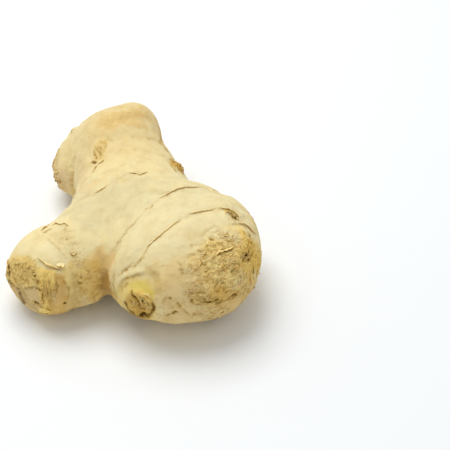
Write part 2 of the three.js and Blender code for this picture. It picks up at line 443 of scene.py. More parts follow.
@dataclass(frozen=True)
class GrowthRing:
    """A ring that runs round a part through a point, across a heading.

    The heading counts degrees from -Y towards +X, lean tips the ring forward, curve bows it by that many
    mm for each square mm to the side, and reach is how far from the point it shows.
    """

    part: Part
    at: Point
    heading: float
    lean: float
    curve: float
    depth: float
    reach: float = 90.0

    def normal(self) -> Array:
        """The direction along the part that the ring lies across."""
        turn = math.radians(self.heading)
        return unit(np.array([math.sin(turn), -math.cos(turn), self.lean]))

    def across(self, points: Array, wander: Array) -> Array:
        """How far each point is past the ring's line, along the part, in mm.

        Args:
            points: One point a row.
            wander: How far the line strays at each point, in mm.

        Returns:
            The distance along the normal, less the bow at that distance to the side, plus the wander.
        """
        turn = math.radians(self.heading)
        way = points - np.array(self.at, float)
        aside = way @ np.array([math.cos(turn), math.sin(turn), 0.0])
        return way @ self.normal() - self.curve * aside**2 + wander

    def shows(self, points: Array, shares: dict[Part, Array]) -> Array:
        """How strongly the ring shows at each point: on its own part, and within its reach."""
        distance = np.linalg.norm(points - np.array(self.at, float), axis=1)
        return shares[self.part] * bell(distance, self.reach)


RINGS = (
    GrowthRing(Part.STEM, (-1.9, 21, 32), 12, -0.1, -0.011, 0.4),
    GrowthRing(Part.STEM, (-4.9, -3.5, 34.6), 15, 0, 0.0135, 0.7),
    GrowthRing(Part.STEM, (6.1, -19.3, 36.9), 42, -0.1, 0.005, 1),
    GrowthRing(Part.STEM, (12.6, -30.9, 37.8), 36, -0.1, 0, 1),
    GrowthRing(Part.STEM, (34.8, -24.1, 32.6), 39, 0.2, 0, 0.6, 18),
    GrowthRing(Part.BUD, (-0.8, -41, 25.1), -18, 0, 0, 0.7, 14),
    GrowthRing(Part.FINGER, (-21.7, -33, 25), -63, 0, -0.006, 0.6),
    GrowthRing(Part.FINGER, (-20.2, -38.1, 18.7), -30, 0.2, 0, 0.5, 16),
    GrowthRing(Part.NUB, (-25.5, 25.5, 19), -95, 0, 0, 0.4),
)


@dataclass(frozen=True)
class Spot:
    """A bud, bud scar or root scar: rise is the height of its middle and rim that of the edge round it."""

    at: Point
    radius: float
    rise: float
    rim: float
    brown: float = 0.5

    def height(self, points: Array) -> Array:
        """The relief at each point: a bell for the middle and a ring-shaped bell for the edge."""
        r = self.distance(points)
        return self.rise * bell(r, 0.75) + self.rim * bell(r - 1.15, 0.3)

    def distance(self, points: Array) -> Array:
        """The distance of each point from the middle, counted in the spot's radius."""
        return np.linalg.norm(points - np.array(self.at, float), axis=1) / self.radius


SPOTS = (
    Spot((3.2, -45, 16.6), 4.6, -1.1, 0.7, 0.25),
    Spot((-13.1, 17, 30.1), 4, 0.6, -0.2, 0.0),
    Spot((13.7, 10.9, 27), 2.9, 1.3, -0.3, 0.9),
    Spot((32.6, -21.4, 34), 2.2, -0.4, 0.2, 0.0),
    Spot((21.5, -47.1, 21.8), 2.6, 0.4, -0.5, 0.4),
    Spot((41, -29.5, 10), 2.5, 0.8, -0.4, 0.6),
    Spot((37, -6, 17), 4.2, 2.2, -0.5, 0.6),
    Spot((-26.5, -10, 13), 2.4, 0.7, -0.4, 0.6),
    Spot((8.7, 30.5, 14), 3.4, 1.5, -0.4, 0.6),
)


@dataclass(frozen=True)
class Sites:
    """Points of the skin, with all that its markings are placed by.

    Facing is how squarely each point faces the viewpoint, from -1 to 1.
    """

    points: Array
    outward: Array
    pixels: Array
    facing: Array


@dataclass(frozen=True)
class Ground:
    """The body as its markings are laid on it: its form, the viewpoint, and what the markings stray by.

    A walk along a ray starts so many mm before the viewpoint's target. It goes on in strides of a share
    of the level, and no shorter than the least, until it is nearer than near.
    """

    form: RootForm = RootForm()
    view: Viewpoint = Viewpoint()
    noise: GradientNoise = field(default_factory=GradientNoise)
    start: float = 70.0
    strides: int = 60
    share: float = 0.8
    least: float = 0.05
    near: float = 0.02

    def sites(self, points: Array) -> Sites:
        """The sites of some points on the body."""
        outward = unit(self.form.slope(points))
        return Sites(points, outward, self.view.pixels(points), outward @ self.view.axes()[2])

    def seen(self, places: Array) -> Array:
        """The points of the body that show at some places of the frame.

        Each ray walks forward by the body's level until it meets the skin, or keeps its closest pass.

        Args:
            places: One place of the frame a row.

        Returns:
            One point a place.
        """
        eye, rays = self.view.place(), self.view.rays(places)
        run = np.full(len(rays), self.view.distance - self.start)
        best, best_level = run.copy(), np.full(len(rays), np.inf)
        for _ in range(self.strides):
            level = self.form.level(eye + run[:, None] * rays)
            closer = level < best_level
            best, best_level = np.where(closer, run, best), np.where(closer, level, best_level)
            stride = np.maximum(self.share * level, self.least)
            run = run + np.where(best_level > self.near, stride, 0.0)
        return eye + best[:, None] * rays

    def plane(self, at: Point, guide: Point) -> tuple[Array, Array, Array]:
        """The skin round a place, as a flat piece.

        Args:
            at: The place.
            guide: A direction that the piece's first axis is square to.

        Returns:
            The nearest point of the body, and two directions along the skin there.
        """
        middle = self.form.pulled(np.array([at], float), 4, 2.0)
        outward = unit(self.form.slope(middle))[0]
        across = unit(np.cross(outward, guide))
        return middle, across, np.cross(outward, across)


@dataclass(frozen=True)
class Stroke:
    """A line cut into the skin: its path on the body, and its width, depth, darkness and step in mm.

    The step raises the skin on the left of the path's direction, seen from outside.
    """

    path: Array
    width: float
    depth: float
    dark: float
    step: float = 0.0


# How far apart the points of a crack lie and how long its waves are, in pixels of the frame.
CRACK_PACE = 1.1
STRAY_LENGTH = 3.3


@dataclass(frozen=True)
class Crack:
    """A crack through a few places of the frame."""

    places: Places
    width: float
    depth: float
    dark: float
    step: float = 0.0
    jitter: float = 0.9

    def stroke(self, ground: Ground) -> Stroke:
        """The crack on the body, at even steps of the frame with a little jitter.

        Args:
            ground: What it is laid on.

        Returns:
            The stroke.
        """
        course = Course(self.places)
        places = course.even(max(3, int(course.length / CRACK_PACE) + 1))
        flat = [np.pad(places + 40.0 * n, ((0, 0), (0, 1))) for n in (1, 2)]
        stray = np.stack([ground.noise.fractal(points, STRAY_LENGTH, 2) for points in flat], axis=1)
        path = ground.seen(places + self.jitter * stray)
        return Stroke(path, self.width, self.depth, self.dark, self.step)


# How many points each crack of a scar has.
SCAR_POINTS = 4


@dataclass(frozen=True)
class RoundScar:
    """Short cracks that run out from a spot and round it."""

    at: Point
    radius: float
    count: int
    seed: int
    dark: float = 0.7

    def strokes(self, ground: Ground) -> list[Stroke]:
        """The scar's cracks on the body: as many that run out as run round.

        Args:
            ground: What they are laid on.

        Returns:
            The strokes.
        """
        draw = np.random.default_rng(self.seed)
        middle, across, other = ground.plane(self.at, (0.3, 0.2, 0.9))
        strokes = []
        for number in range(2 * self.count):
            runs_out = number < self.count
            turn = 2 * math.pi * (number + draw.uniform(-0.3, 0.3)) / self.count
            spread = draw.uniform(0.1, 0.3) if runs_out else draw.uniform(0.4, 0.8)
            t = np.linspace(0.0, 1.0, SCAR_POINTS)
            turns = turn + spread * t
            r = 0.5 + 0.7 * t if runs_out else np.full(SCAR_POINTS, draw.uniform(0.75, 1.15))
            flat = np.cos(turns)[:, None] * across + np.sin(turns)[:, None] * other
            path = ground.form.pulled(middle + self.radius * r[:, None] * flat, 2)
            width, depth = draw.uniform(0.25, 0.6), draw.uniform(0.2, 0.45)
            strokes.append(Stroke(path, width, depth, self.dark * draw.uniform(0.5, 1.0)))
        return strokes


# Each row: places, width, depth, darkness, step and jitter.
# The rings where they show as lines, from the back lobe to the tip of the bulb.
RING_CRACKS = (
    ((79, 200, 86, 197, 94, 194.5), 0.14, 0.059, 0.28, 0.069, 1.7),
    ((95, 194, 102, 189, 107, 186), 0.21, 0.078, 0.35, 0.056, 1.7),
    ((107, 186, 113, 181, 120, 178, 127, 174.5), 0.14, 0.064, 0.27, 0.07, 1.7),
    ((128, 173.5, 134, 172.8, 140, 173.6, 144, 173.6, 148, 172), 0.24, 0.09, 0.36, 0.06, 0.8),
    ((150, 175, 160, 176.5, 170, 178, 181, 181), 0.14, 0.04, 0.065, 0.081, 1.7),
    ((110, 256, 113, 250, 118, 243, 123, 236, 127, 230, 134, 222, 140, 217), 0.18, 0.12, 0.51, 0.08, 1.7),
    ((140, 217, 143, 213, 145, 210), 0.14, 0.053, 0.19, 0.068, 1.7),
    ((145, 210, 149, 207, 153, 204), 0.15, 0.17, 0.64, 0.08, 1.7),
    ((153, 204, 159, 199), 0.14, 0.052, 0.19, 0.08, 1.7),
    ((159, 199, 163, 197, 170, 192.5, 178, 189, 186, 187.5, 195, 187, 203, 187), 0.24, 0.1, 0.34, 0.097,
     1.7),
    ((119, 275.5, 124, 271.5, 130, 266.5, 135.5, 261.5), 0.2, 0.18, 0.59, 0.13, 1.4),
    ((131.5, 268.5, 136, 265, 140, 260.5, 144.5, 257), 0.2, 0.18, 0.62, 0.14, 1.4),
    ((144, 257, 146.5, 251, 148, 246, 153, 241, 160, 235, 166, 230), 0.24, 0.11, 0.31, 0.084, 1.7),
    ((166, 230, 171, 226, 177, 222, 182, 219), 0.21, 0.088, 0.28, 0.083, 1.7),
    ((182, 219, 189, 215), 0.14, 0.058, 0.18, 0.12, 1.7),
    ((189, 215, 195, 212.5, 203, 210.5, 210, 209, 217, 208), 0.16, 0.074, 0.2, 0.067, 1.8),
    ((217, 208, 222, 209, 226, 210, 231, 213), 0.18, 0.11, 0.4, 0.11, 1.7),
    ((226, 210, 231, 213.5, 235, 217, 239, 220.5), 1.1, 1.2, 1, 0.3, 0.8),
    ((229, 208.5, 234, 212, 237, 215.5), 0.35, 0.15, 0.3, 0.099, 1.2),
    ((143, 259, 144.5, 253, 147, 248, 151, 244), 0.15, 0.088, 0.28, 0, 1.4),
    ((200, 236, 205, 231, 212, 227, 218, 225), 0.14, 0.089, 0.3, 0.07, 1.7),
    ((228, 224, 237, 224.5, 243, 224, 248, 227, 253, 232, 257, 235), 0.18, 0.13, 0.41, 0.12, 1.7),
    ((120, 289, 121, 285, 125, 280, 132, 276.5, 139, 275, 146, 274.5), 0.18, 0.16, 0.5, 0.26, 2),
    ((121, 291, 124, 286, 129, 282), 0.14, 0.19, 0.61, 0.07, 1.7),
    ((113, 284, 114, 278, 115, 272), 0.14, 0.11, 0.44, 0, 1.7),
)
# The bark on the bulb, the bud under it, and what lies between them.
BULB_CRACKS = (
    ((217, 256, 219, 252.5, 224, 251, 229, 249.5, 234, 248), 0.55, 0.54, 0.89, 0.28),
    ((212, 262, 214, 258, 217, 255), 0.3, 0.21, 0.39, 0.14),
    ((228, 266, 234, 264, 240, 262.5), 0.25, 0.3, 0.63, 0.1),
    ((242, 263, 244, 258, 247, 254, 250, 249), 0.8, 0.8, 1, 0.3, 1),
    ((246, 262, 250, 258, 253, 252), 0.4, 0.45, 0.91, 0.1, 1),
    ((240, 258, 245, 250, 248, 246), 0.35, 0.29, 0.48, 0.077, 1),
    ((249, 243, 250, 238, 248, 233), 0.2, 0.38, 0.65),
    ((238, 264, 239.5, 267), 0.6, 0.95, 1),
    ((253, 273, 254, 270, 255, 267), 0.4, 0.44, 0.91),
    ((209, 237, 212, 240, 215, 239), 0.5, 0.34, 0.66, 0.18, 1),
    ((205, 272, 208, 269, 211, 268), 0.5, 0.22, 0.5, 0.078, 1),
    ((227, 240, 229, 241.5), 0.4, 0.29, 0.68),
    ((188, 247, 194, 244.5, 201, 243), 0.35, 0.25, 0.35, 0.15, 1.4),
    ((186, 258, 191, 255, 197, 254.5), 0.3, 0.2, 0.3, 0.1, 1.4),
    ((196, 250, 200, 252, 205, 250), 0.35, 0.25, 0.45, 0.1, 1.2),
    ((214, 246, 218, 243.5, 223, 243.5), 0.35, 0.3, 0.5, 0.15, 1.2),
    ((199, 263, 203, 265.5, 207, 264), 0.4, 0.25, 0.45, 0.1, 1.2),
    ((219, 234, 222, 236, 221, 239), 0.35, 0.25, 0.45, 0.1, 1.2),
    ((206, 246, 207, 250, 205, 254), 0.35, 0.2, 0.4, 0, 1.2),
    ((230, 272, 235, 270, 239, 272), 0.4, 0.3, 0.5, 0.15, 1.2),
    ((214, 284, 219, 281, 225, 282), 0.4, 0.25, 0.4, 0.15, 1.4),
    ((178, 262, 180, 266, 181, 270), 0.35, 0.23, 0.25, 0.24, 1.4),
    ((179, 268, 182, 271, 183, 275), 0.5, 0.35, 0.47, 0.2, 1.4),
    ((160, 268, 168, 266, 176, 268), 0.7, 0.067, 0.03, 0.091, 1.4),
    ((163, 280, 171, 277, 179, 280), 0.7, 0.052, 0.03, 0.078, 1.4),
    ((184, 286, 191, 284, 199, 286), 0.6, 0.11, 0.11, 0.14, 1.4),
    ((157, 246, 164, 248, 171, 246), 0.7, 0.055, 0.03, 0.073, 1.4),
    ((176, 250, 184, 247, 193, 249), 0.6, 0.12, 0.092, 0.12, 1.4),
    ((226, 300, 233, 294, 241, 289), 0.35, 0.3, 0.7, 0.19),
    ((224, 302, 228, 298), 0.2, 0.25, 0.49),
    ((241, 288, 247, 284), 0.2, 0.3, 0.81),
    ((206, 302, 213, 302, 217, 299, 219, 301), 0.6, 0.51, 0.97, 0.2),
    ((215, 304, 221, 302), 0.4, 0.66, 1),
    ((171, 313.5, 175, 312.5, 179, 311), 0.45, 0.51, 1, 0.15),
    ((166, 315, 171, 314), 0.25, 0.27, 0.64),
    ((181, 308, 179, 305, 177, 302), 0.35, 0.34, 0.71),
    ((182, 308, 187, 313, 190, 316), 0.15, 0.26, 0.56),
    ((161, 305, 164, 300, 167, 296), 0.3, 0.18, 0.35),
    ((169, 299, 171, 297), 0.4, 0.34, 0.71),
    ((193, 298, 192, 302, 194, 305), 0.45, 0.34, 0.68),
    ((195, 294, 200, 292, 204, 294), 0.35, 0.35, 0.67),
    ((203, 296, 205, 300, 204, 304), 0.45, 0.39, 0.68),
    ((196, 305, 200, 304, 202, 301), 0.5, 0.39, 0.78),
    ((196, 298, 199, 300), 0.4, 0.16, 0.27),
    ((133, 291, 134.5, 295, 136, 300, 138, 306), 1.3, 0.8, 1, 0.3, 0.7),
    ((126, 301, 128, 305, 131, 309, 136, 311.5), 1, 0.7, 1, 0.2, 0.7),
    ((130, 309.5, 136, 312.5, 142, 314, 149, 314.5), 1.1, 0.8, 1, 0.2, 1),
    ((149, 314, 153, 310, 154.5, 306, 152, 302), 0.6, 0.65, 0.85, 0.2, 0.8),
    ((142.5, 300.5, 143.5, 304), 1.2, 0.6, 1),
    ((130, 300, 133, 305, 137, 309), 0.35, 0.4, 0.8, 0.15, 0.8),
    ((147, 301, 149, 305, 147, 310), 0.4, 0.35, 0.8, 0.15, 0.8),
    ((139, 298, 142, 296.5, 146, 298), 0.35, 0.3, 0.6, 0.2, 0.8),
    ((140, 305, 142, 308.5, 146, 311), 0.4, 0.35, 0.8, 0.15, 0.8),
)
# The back lobe with its bud scar.
BACK_CRACKS = (
    ((90, 162, 93, 162, 97, 162.5), 0.55, 0.36, 0.89, 0.089),
    ((98, 164, 101, 161.5, 104, 159), 0.4, 0.34, 0.76, 0.14),
    ((98, 164, 95, 168, 92, 173), 0.45, 0.34, 0.83, 0.17),
    ((97, 145, 95, 150, 95, 155, 97, 159), 0.3, 0.32, 0.78, 0.18, 1.2),
    ((97, 144, 102, 142.5, 107, 140.5, 108, 137), 0.3, 0.17, 0.42, 0.099, 1.4),
    ((106, 142, 106, 148, 102, 154, 99, 160), 0.3, 0.22, 0.46, 0.14, 1.4),
    ((100, 147, 102, 150, 100, 154, 98, 151, 100, 147), 0.25, 0.3, 0.77, 0.082, 0.8),
    ((103, 142, 110, 139, 112, 141), 0.25, 0.2, 0.45, 0.066, 1.2),
    ((161, 127, 163, 134, 161.5, 141), 0.5, 0.4, 0.8, 0.2, 1.2),
    ((162, 142, 166, 148, 170, 154), 0.35, 0.3, 0.6, 0.2, 1.2),
    ((154, 137, 158, 140, 162, 144), 0.25, 0.2, 0.45, 0.1, 1.2),
    ((132, 137, 134, 137), 0.4, 0.33, 0.84),
    ((146, 137, 152, 139, 159, 143), 0.2, 0.2, 0.35),
    ((110, 153, 113, 151), 0.7, 0.13, 0.074),
    ((134, 151, 136, 149), 0.7, 0.28, 0.15),
    ((73, 158, 75, 155, 77, 153), 0.8, 0.18, 0.083),
    ((66, 136, 68, 132, 71, 128), 0.3, 0.2, 0.6, 0.2),
    ((53, 171, 56, 173, 59, 172), 0.6, 0.22, 0.26, 0.15),
    ((55, 181, 58, 182, 61, 180), 0.5, 0.23, 0.25, 0.16),
    ((160, 133, 162, 138), 0.4, 0.3, 0.6),
    ((170, 158, 173, 161, 176, 166), 0.5, 0.4, 0.8, 0.2),
    ((174, 159, 177, 163, 179, 169), 0.5, 0.4, 0.9, 0.2),
    ((172, 164, 175, 169, 178, 172), 0.4, 0.4, 0.7, 0.2),
    ((117, 136, 119, 141), 0.3, 0.13, 0.12),
)
# The finger: the skin that has peeled, its bark, and the face that it was snapped off at.
FINGER_CRACKS = (
    ((68, 259, 60, 251, 53, 244, 47, 238.5), 0.12, 0.11, 0.46, 0.4, 0.3),
    ((103, 266, 106, 275, 110, 286, 115, 297), 0.35, 0.2, 0.4, 0.1, 1.2),
    ((38, 259, 43, 262, 49, 266, 55, 269, 63, 269), 0.45, 0.32, 0.5, 0.34, 0.7),
    ((52, 226, 55, 223, 58, 225.5, 62, 224.5, 66, 224), 0.3, 0.12, 0.26, 0.14, 1.6),
    ((66, 224, 67, 227, 64, 231), 0.3, 0.26, 0.48, 0.2, 1),
    ((41, 231, 44, 228, 49, 226), 0.35, 0.12, 0.23, 0.13, 1.2),
    ((44, 233, 48, 229, 51, 228), 0.25, 0.37, 0.74, 0.15, 1.2),
    ((61, 238, 63, 240), 0.3, 0.14, 0.3),
    ((66, 239, 68, 239.5), 0.3, 0.3, 0.81),
    ((70, 243, 74, 244, 76, 242), 0.25, 0.13, 0.27, 0.069, 0.8),
    ((70, 253, 73, 256, 77, 253), 0.5, 0.27, 0.56, 0.16, 0.8),
    ((80, 276, 83, 278), 0.5, 0.31, 0.55),
    ((77, 280, 79, 283, 82, 283), 0.5, 0.49, 1, 0.2, 0.8),
    ((79, 287, 82, 290), 0.35, 0.16, 0.28),
    ((33, 272, 34, 275, 37, 278), 0.8, 0.53, 0.87, 0.17, 1.4),
    ((35, 279, 38, 281, 37, 285), 0.6, 0.41, 0.71, 0.16, 1.4),
    ((36, 287, 39, 290, 42, 290), 0.6, 0.54, 0.89, 0.29, 1.4),
    ((41, 292, 43, 297, 43, 302), 0.5, 0.6, 0.96, 0.29, 1.4),
    ((14, 266, 18, 265, 22, 267), 0.3, 0.25, 0.5, 0.096, 1.2),
    ((24, 270, 28, 273, 27, 277), 0.3, 0.27, 0.46, 0.072, 1.2),
    ((18, 276, 23, 279, 29, 281), 0.3, 0.22, 0.37, 0.088, 1.4),
    ((32, 304.5, 35, 302, 37.5, 303, 43, 307), 0.5, 0.5, 0.95, 0.3, 0.6),
    ((8.5, 262, 8.5, 268, 10.5, 275, 13, 281), 0.8, 0.5, 1, 0.3, 1.6),
    ((13, 281, 16, 286, 19, 290, 23, 295), 1.3, 0.8, 1, 0.4, 1.6),
    ((22, 294, 26, 300, 31, 305.5, 37, 310.5), 0.9, 0.6, 1, 0.3, 1.8),
    ((21, 288, 24, 292, 28, 297), 0.3, 0.13, 0.23, 0.05, 1),
    ((11, 268, 13, 272, 12, 276), 0.35, 0.3, 0.6, 0.2, 1.4),
    ((21, 289, 28, 288, 34, 287, 38, 288), 0.45, 0.26, 0.39, 0.23, 1),
    ((62, 280, 66, 284, 69, 289, 69.5, 294, 67, 300), 0.25, 0.35, 0.71, 0.2),
    ((64, 305, 66, 301.5), 0.55, 0.42, 0.95),
    ((55, 272, 57, 280, 57, 288, 55, 298), 0.2, 0.32, 0.4, 0.4, 1.6),
    ((58, 277, 61, 279, 66, 277), 0.5, 0.2, 0.28, 0.071, 1),
    ((45, 273, 47, 278, 45, 283), 0.3, 0.13, 0.14, 0.099, 1.8),
    ((51, 277, 49, 283, 52, 288), 0.25, 0.2, 0.23, 0.14, 1.8),
    ((46, 288, 49, 293, 46, 299), 0.3, 0.38, 0.46, 0.2, 1.8),
    ((52, 294, 50, 300, 52, 306), 0.25, 0.13, 0.14, 0.099, 1.8),
    ((44, 303, 48, 307, 47, 312), 0.3, 0.13, 0.14, 0.099, 1.8),
    ((38, 311, 43, 314, 50, 314), 0.3, 0.47, 1),
)
CRACKS = tuple(Crack(*row) for row in RING_CRACKS + BULB_CRACKS + BACK_CRACKS + FINGER_CRACKS)
# Soft folds that lie under the cracks: places, width and depth. A depth below zero is a rounded ridge.
FOLD_ROWS = (
    ((117, 292, 118, 284, 122, 277, 128, 273.5, 137, 271.5, 148, 271.5), 2, -0.3),
    ((161, 274, 164, 282, 164, 291, 161, 299), 3, -0.5),
    ((152, 272, 156, 277, 158, 284), 2.2, 0.45),
    ((98, 250, 100.5, 260, 103, 268, 107, 279, 111.5, 291, 116, 300), 2.2, 0.7),
    ((74, 156, 71.5, 166, 70.5, 178, 71.5, 187, 75, 195), 2.4, 1.2),
    ((64, 158, 62, 172, 63, 184), 5, -0.5),
    ((53, 180.5, 57, 182, 62, 182), 1, 0.8),
    ((60, 193, 66, 195, 73, 197), 3, 0.9),
    ((73, 195, 71, 200, 68, 207), 4, 1.5),
    ((67, 135, 71, 130, 77, 126), 2.6, -1.2),
    ((84, 121, 91, 116), 3, 0.7),
    ((76, 305, 84, 302, 93, 299, 102, 294), 4.5, -1.3),
    ((116, 302, 123, 307, 132, 312, 146, 316, 160, 319, 176, 321, 192, 320, 204, 318), 5, -0.8),
    ((9, 277, 14, 288, 23, 300, 34, 310), 4, 1.5),
    ((3, 274, 4, 262, 8, 252, 14, 243, 22, 235, 34, 228), 6, 0.95),
    ((46, 239, 57, 247, 68, 259), 2.2, -0.35),
)
FOLDS = tuple(Crack(*row, dark=0.0) for row in FOLD_ROWS)
SCARS = (
    RoundScar((41, -29.5, 10), 2.8, 7, 1),
    RoundScar((37, -6, 17), 4.2, 9, 2),
    RoundScar((-26.5, -10, 13), 2.6, 7, 3),
    RoundScar((8.7, 30.5, 14), 3.4, 8, 4),
    RoundScar((-14, 46, 22), 3.2, 8, 5),
)


@dataclass(frozen=True)
class Patch:
    """A soft-edged region round a point: how far it reaches in mm, its strength, and its edge's share."""

    at: Point
    reach: float
    strength: float = 1.0
    edge: float = 0.45

    def cover(self, sites: Sites, stray: Array) -> Array:
        """How far each site is in the patch, from 0 to its strength.

        Args:
            sites: Where.
            stray: How much each site's distance is thrown off, about -1 to 1.

        Returns:
            The strength inside, falling to 0 from 1 - edge to 1 + edge / 2 times the reach.
        """
        r = np.linalg.norm(sites.points - np.array(self.at, float), axis=1) / self.reach + 0.3 * stray
        return self.strength * (1.0 - smooth_step(r, 1.0 - self.edge, 1.0 + self.edge / 2))


@dataclass(frozen=True)
class Panel:
    """A region inside an outline in the frame, on the side that faces the viewpoint."""

    outline: Places
    strength: float = 1.0
    soft: float = 4.0

    def cover(self, sites: Sites, stray: Array) -> Array:
        """How far each site is in the panel, from 0 to its strength.

        A site is inside where a line to its right crosses the outline an odd number of times.

        Args:
            sites: Where.
            stray: How much each site's distance is thrown off, about -1 to 1.

        Returns:
            The strength inside, falling to 0 across the outline over about twice the softness in pixels.
        """
        start = pairs(self.outline)
        side = np.roll(start, -1, axis=0) - start
        way = sites.pixels[:, None] - start
        spans = (way[..., 1] >= 0) != (way[..., 1] >= side[..., 1])
        rise = np.where(side[..., 1] == 0, 1.0, side[..., 1])
        crossed = spans & (way[..., 0] < side[..., 0] * way[..., 1] / rise)
        away = away_from(sites.pixels, start, side)
        inside = np.where(crossed.sum(axis=1) % 2 == 1, away, -away) + 1.4 * self.soft * stray
        faces = smooth_step(sites.facing, -0.5, -0.2)
        return self.strength * smooth_step(inside, -self.soft, self.soft) * faces


@dataclass(frozen=True)
class Trail:
    """A narrow region along a line in the frame, for marks near the outline that are seen edge on.

    Reach is how far it spreads to each side, in pixels.
    """

    places: Places
    reach: float
    strength: float = 1.0

    def cover(self, sites: Sites, stray: Array) -> Array:
        """How far each site is in the trail, from 0 to its strength.

        Args:
            sites: Where.
            stray: How much each site's distance is thrown off, about -1 to 1.

        Returns:
            The strength near the line, falling to 0 at 1.3 times the reach, where it faces the viewpoint.
        """
        places = pairs(self.places)
        away = away_from(sites.pixels, places[:-1], np.diff(places, axis=0)) / self.reach + 0.6 * stray
        return self.strength * (1.0 - smooth_step(away, 0.5, 1.3)) * smooth_step(sites.facing, -0.45, -0.2)


Region = Patch | Panel | Trail

# Corky bark: the bulb's front, the finger's flank and end, the bud, the other ends and the far sides.
BARK = (
    Panel((190, 268, 198, 254, 207, 243, 220, 232, 236, 228, 249, 234, 259, 248, 263, 264, 255, 284, 243,
          301, 226, 316, 206, 324, 194, 314, 190, 298, 188, 284), 1, 8),
    Panel((0, 266, 12, 258, 26, 257, 38, 262, 43, 275, 40, 287, 22, 287, 8, 290, 0, 278), 0.75, 3.5),
    Panel((40, 267, 47, 270, 55, 271, 56, 292, 53, 316, 41, 315, 40, 290), 0.6, 1.8),
    Panel((73, 256, 84, 254, 98, 264, 106, 280, 103, 298, 92, 306, 80, 300, 75, 280), 0.5, 4),
    Panel((50, 228, 60, 224, 70, 226, 80, 240, 86, 252, 78, 260, 68, 254, 56, 242), 0.28, 3),
    Panel((125, 297, 134, 290, 148, 293, 157, 302, 154, 315, 142, 319, 129, 313), 0.8, 2),
    Panel((90, 118, 110, 104, 140, 102, 154, 112, 130, 121, 104, 128), 0.2, 6),
    Panel((48, 168, 70, 166, 76, 186, 66, 198, 52, 190), 0.22, 4),
    Panel((154, 296, 172, 290, 188, 300, 190, 318, 168, 322, 154, 316), 0.35, 5),
    Panel((220, 206, 232, 206, 242, 216, 240, 224, 230, 218), 0.5, 2.5),
    Patch((39, -32, 8), 11, 0.8),
    Patch((36, -8, 12), 13, 0.8),
    Patch((13.7, 10.9, 27), 4, 0.7),
    Patch((-11.5, 45.5, 18), 12, 0.8),
    Patch((8, 38, 10), 10, 0.6),
    Patch((-31, 27, 10), 9, 0.7),
    Patch((-35, -22, 10), 9, 0.6),
)

CREAM = linear(238, 222, 170)
TAN = linear(228, 202, 142)
BUFF = linear(230, 200, 138)
SAND = linear(228, 202, 144)
OCHRE = linear(253, 221, 140)
OLIVE = linear(238, 206, 128)
ROSE = linear(238, 208, 146)
STRAW = linear(244, 216, 136)
AMBER = linear(255, 220, 124)
GOLD = linear(242, 200, 92)
HONEY = linear(230, 182, 80)
YELLOW = linear(242, 216, 104)
PALE = linear(244, 229, 180)
ASH = linear(218, 187, 130)
HAZE = linear(222, 208, 162)
MILK = linear(238, 224, 177)
# Painted shade and warm bounced light for the skin that faces down.
UNDERSIDE_SHADE = linear(232, 198, 122)
RUST = linear(224, 184, 108)
EARTH = linear(206, 166, 84)
FLANK = linear(232, 194, 108)
# Painted shade for the crease where the bulb meets the finger.
CREASE_SHADE = linear(140, 92, 28)
MOSS = linear(240, 216, 124)
GLOW = linear(255, 230, 150)
OLIVE_DARK = linear(196, 158, 62)
BUD_BROWN = linear(232, 192, 104)
# Bronze: painted shade in the nub's crease and down the bud's right fold, and a band on the back lobe's
# right rim.
TAWNY = linear(214, 166, 80)
BRONZE_AND_SHADE = linear(204, 170, 92)
WHEAT = linear(214, 184, 118)
DARK = linear(104, 70, 14)
NUB = linear(234, 211, 164)
SCAR_GOLD = linear(232, 200, 118)
CHAR = linear(108, 76, 28)
# Painted shade for the nub's lower part and the neck's left edge.
NUB_SHADE = linear(222, 196, 148)
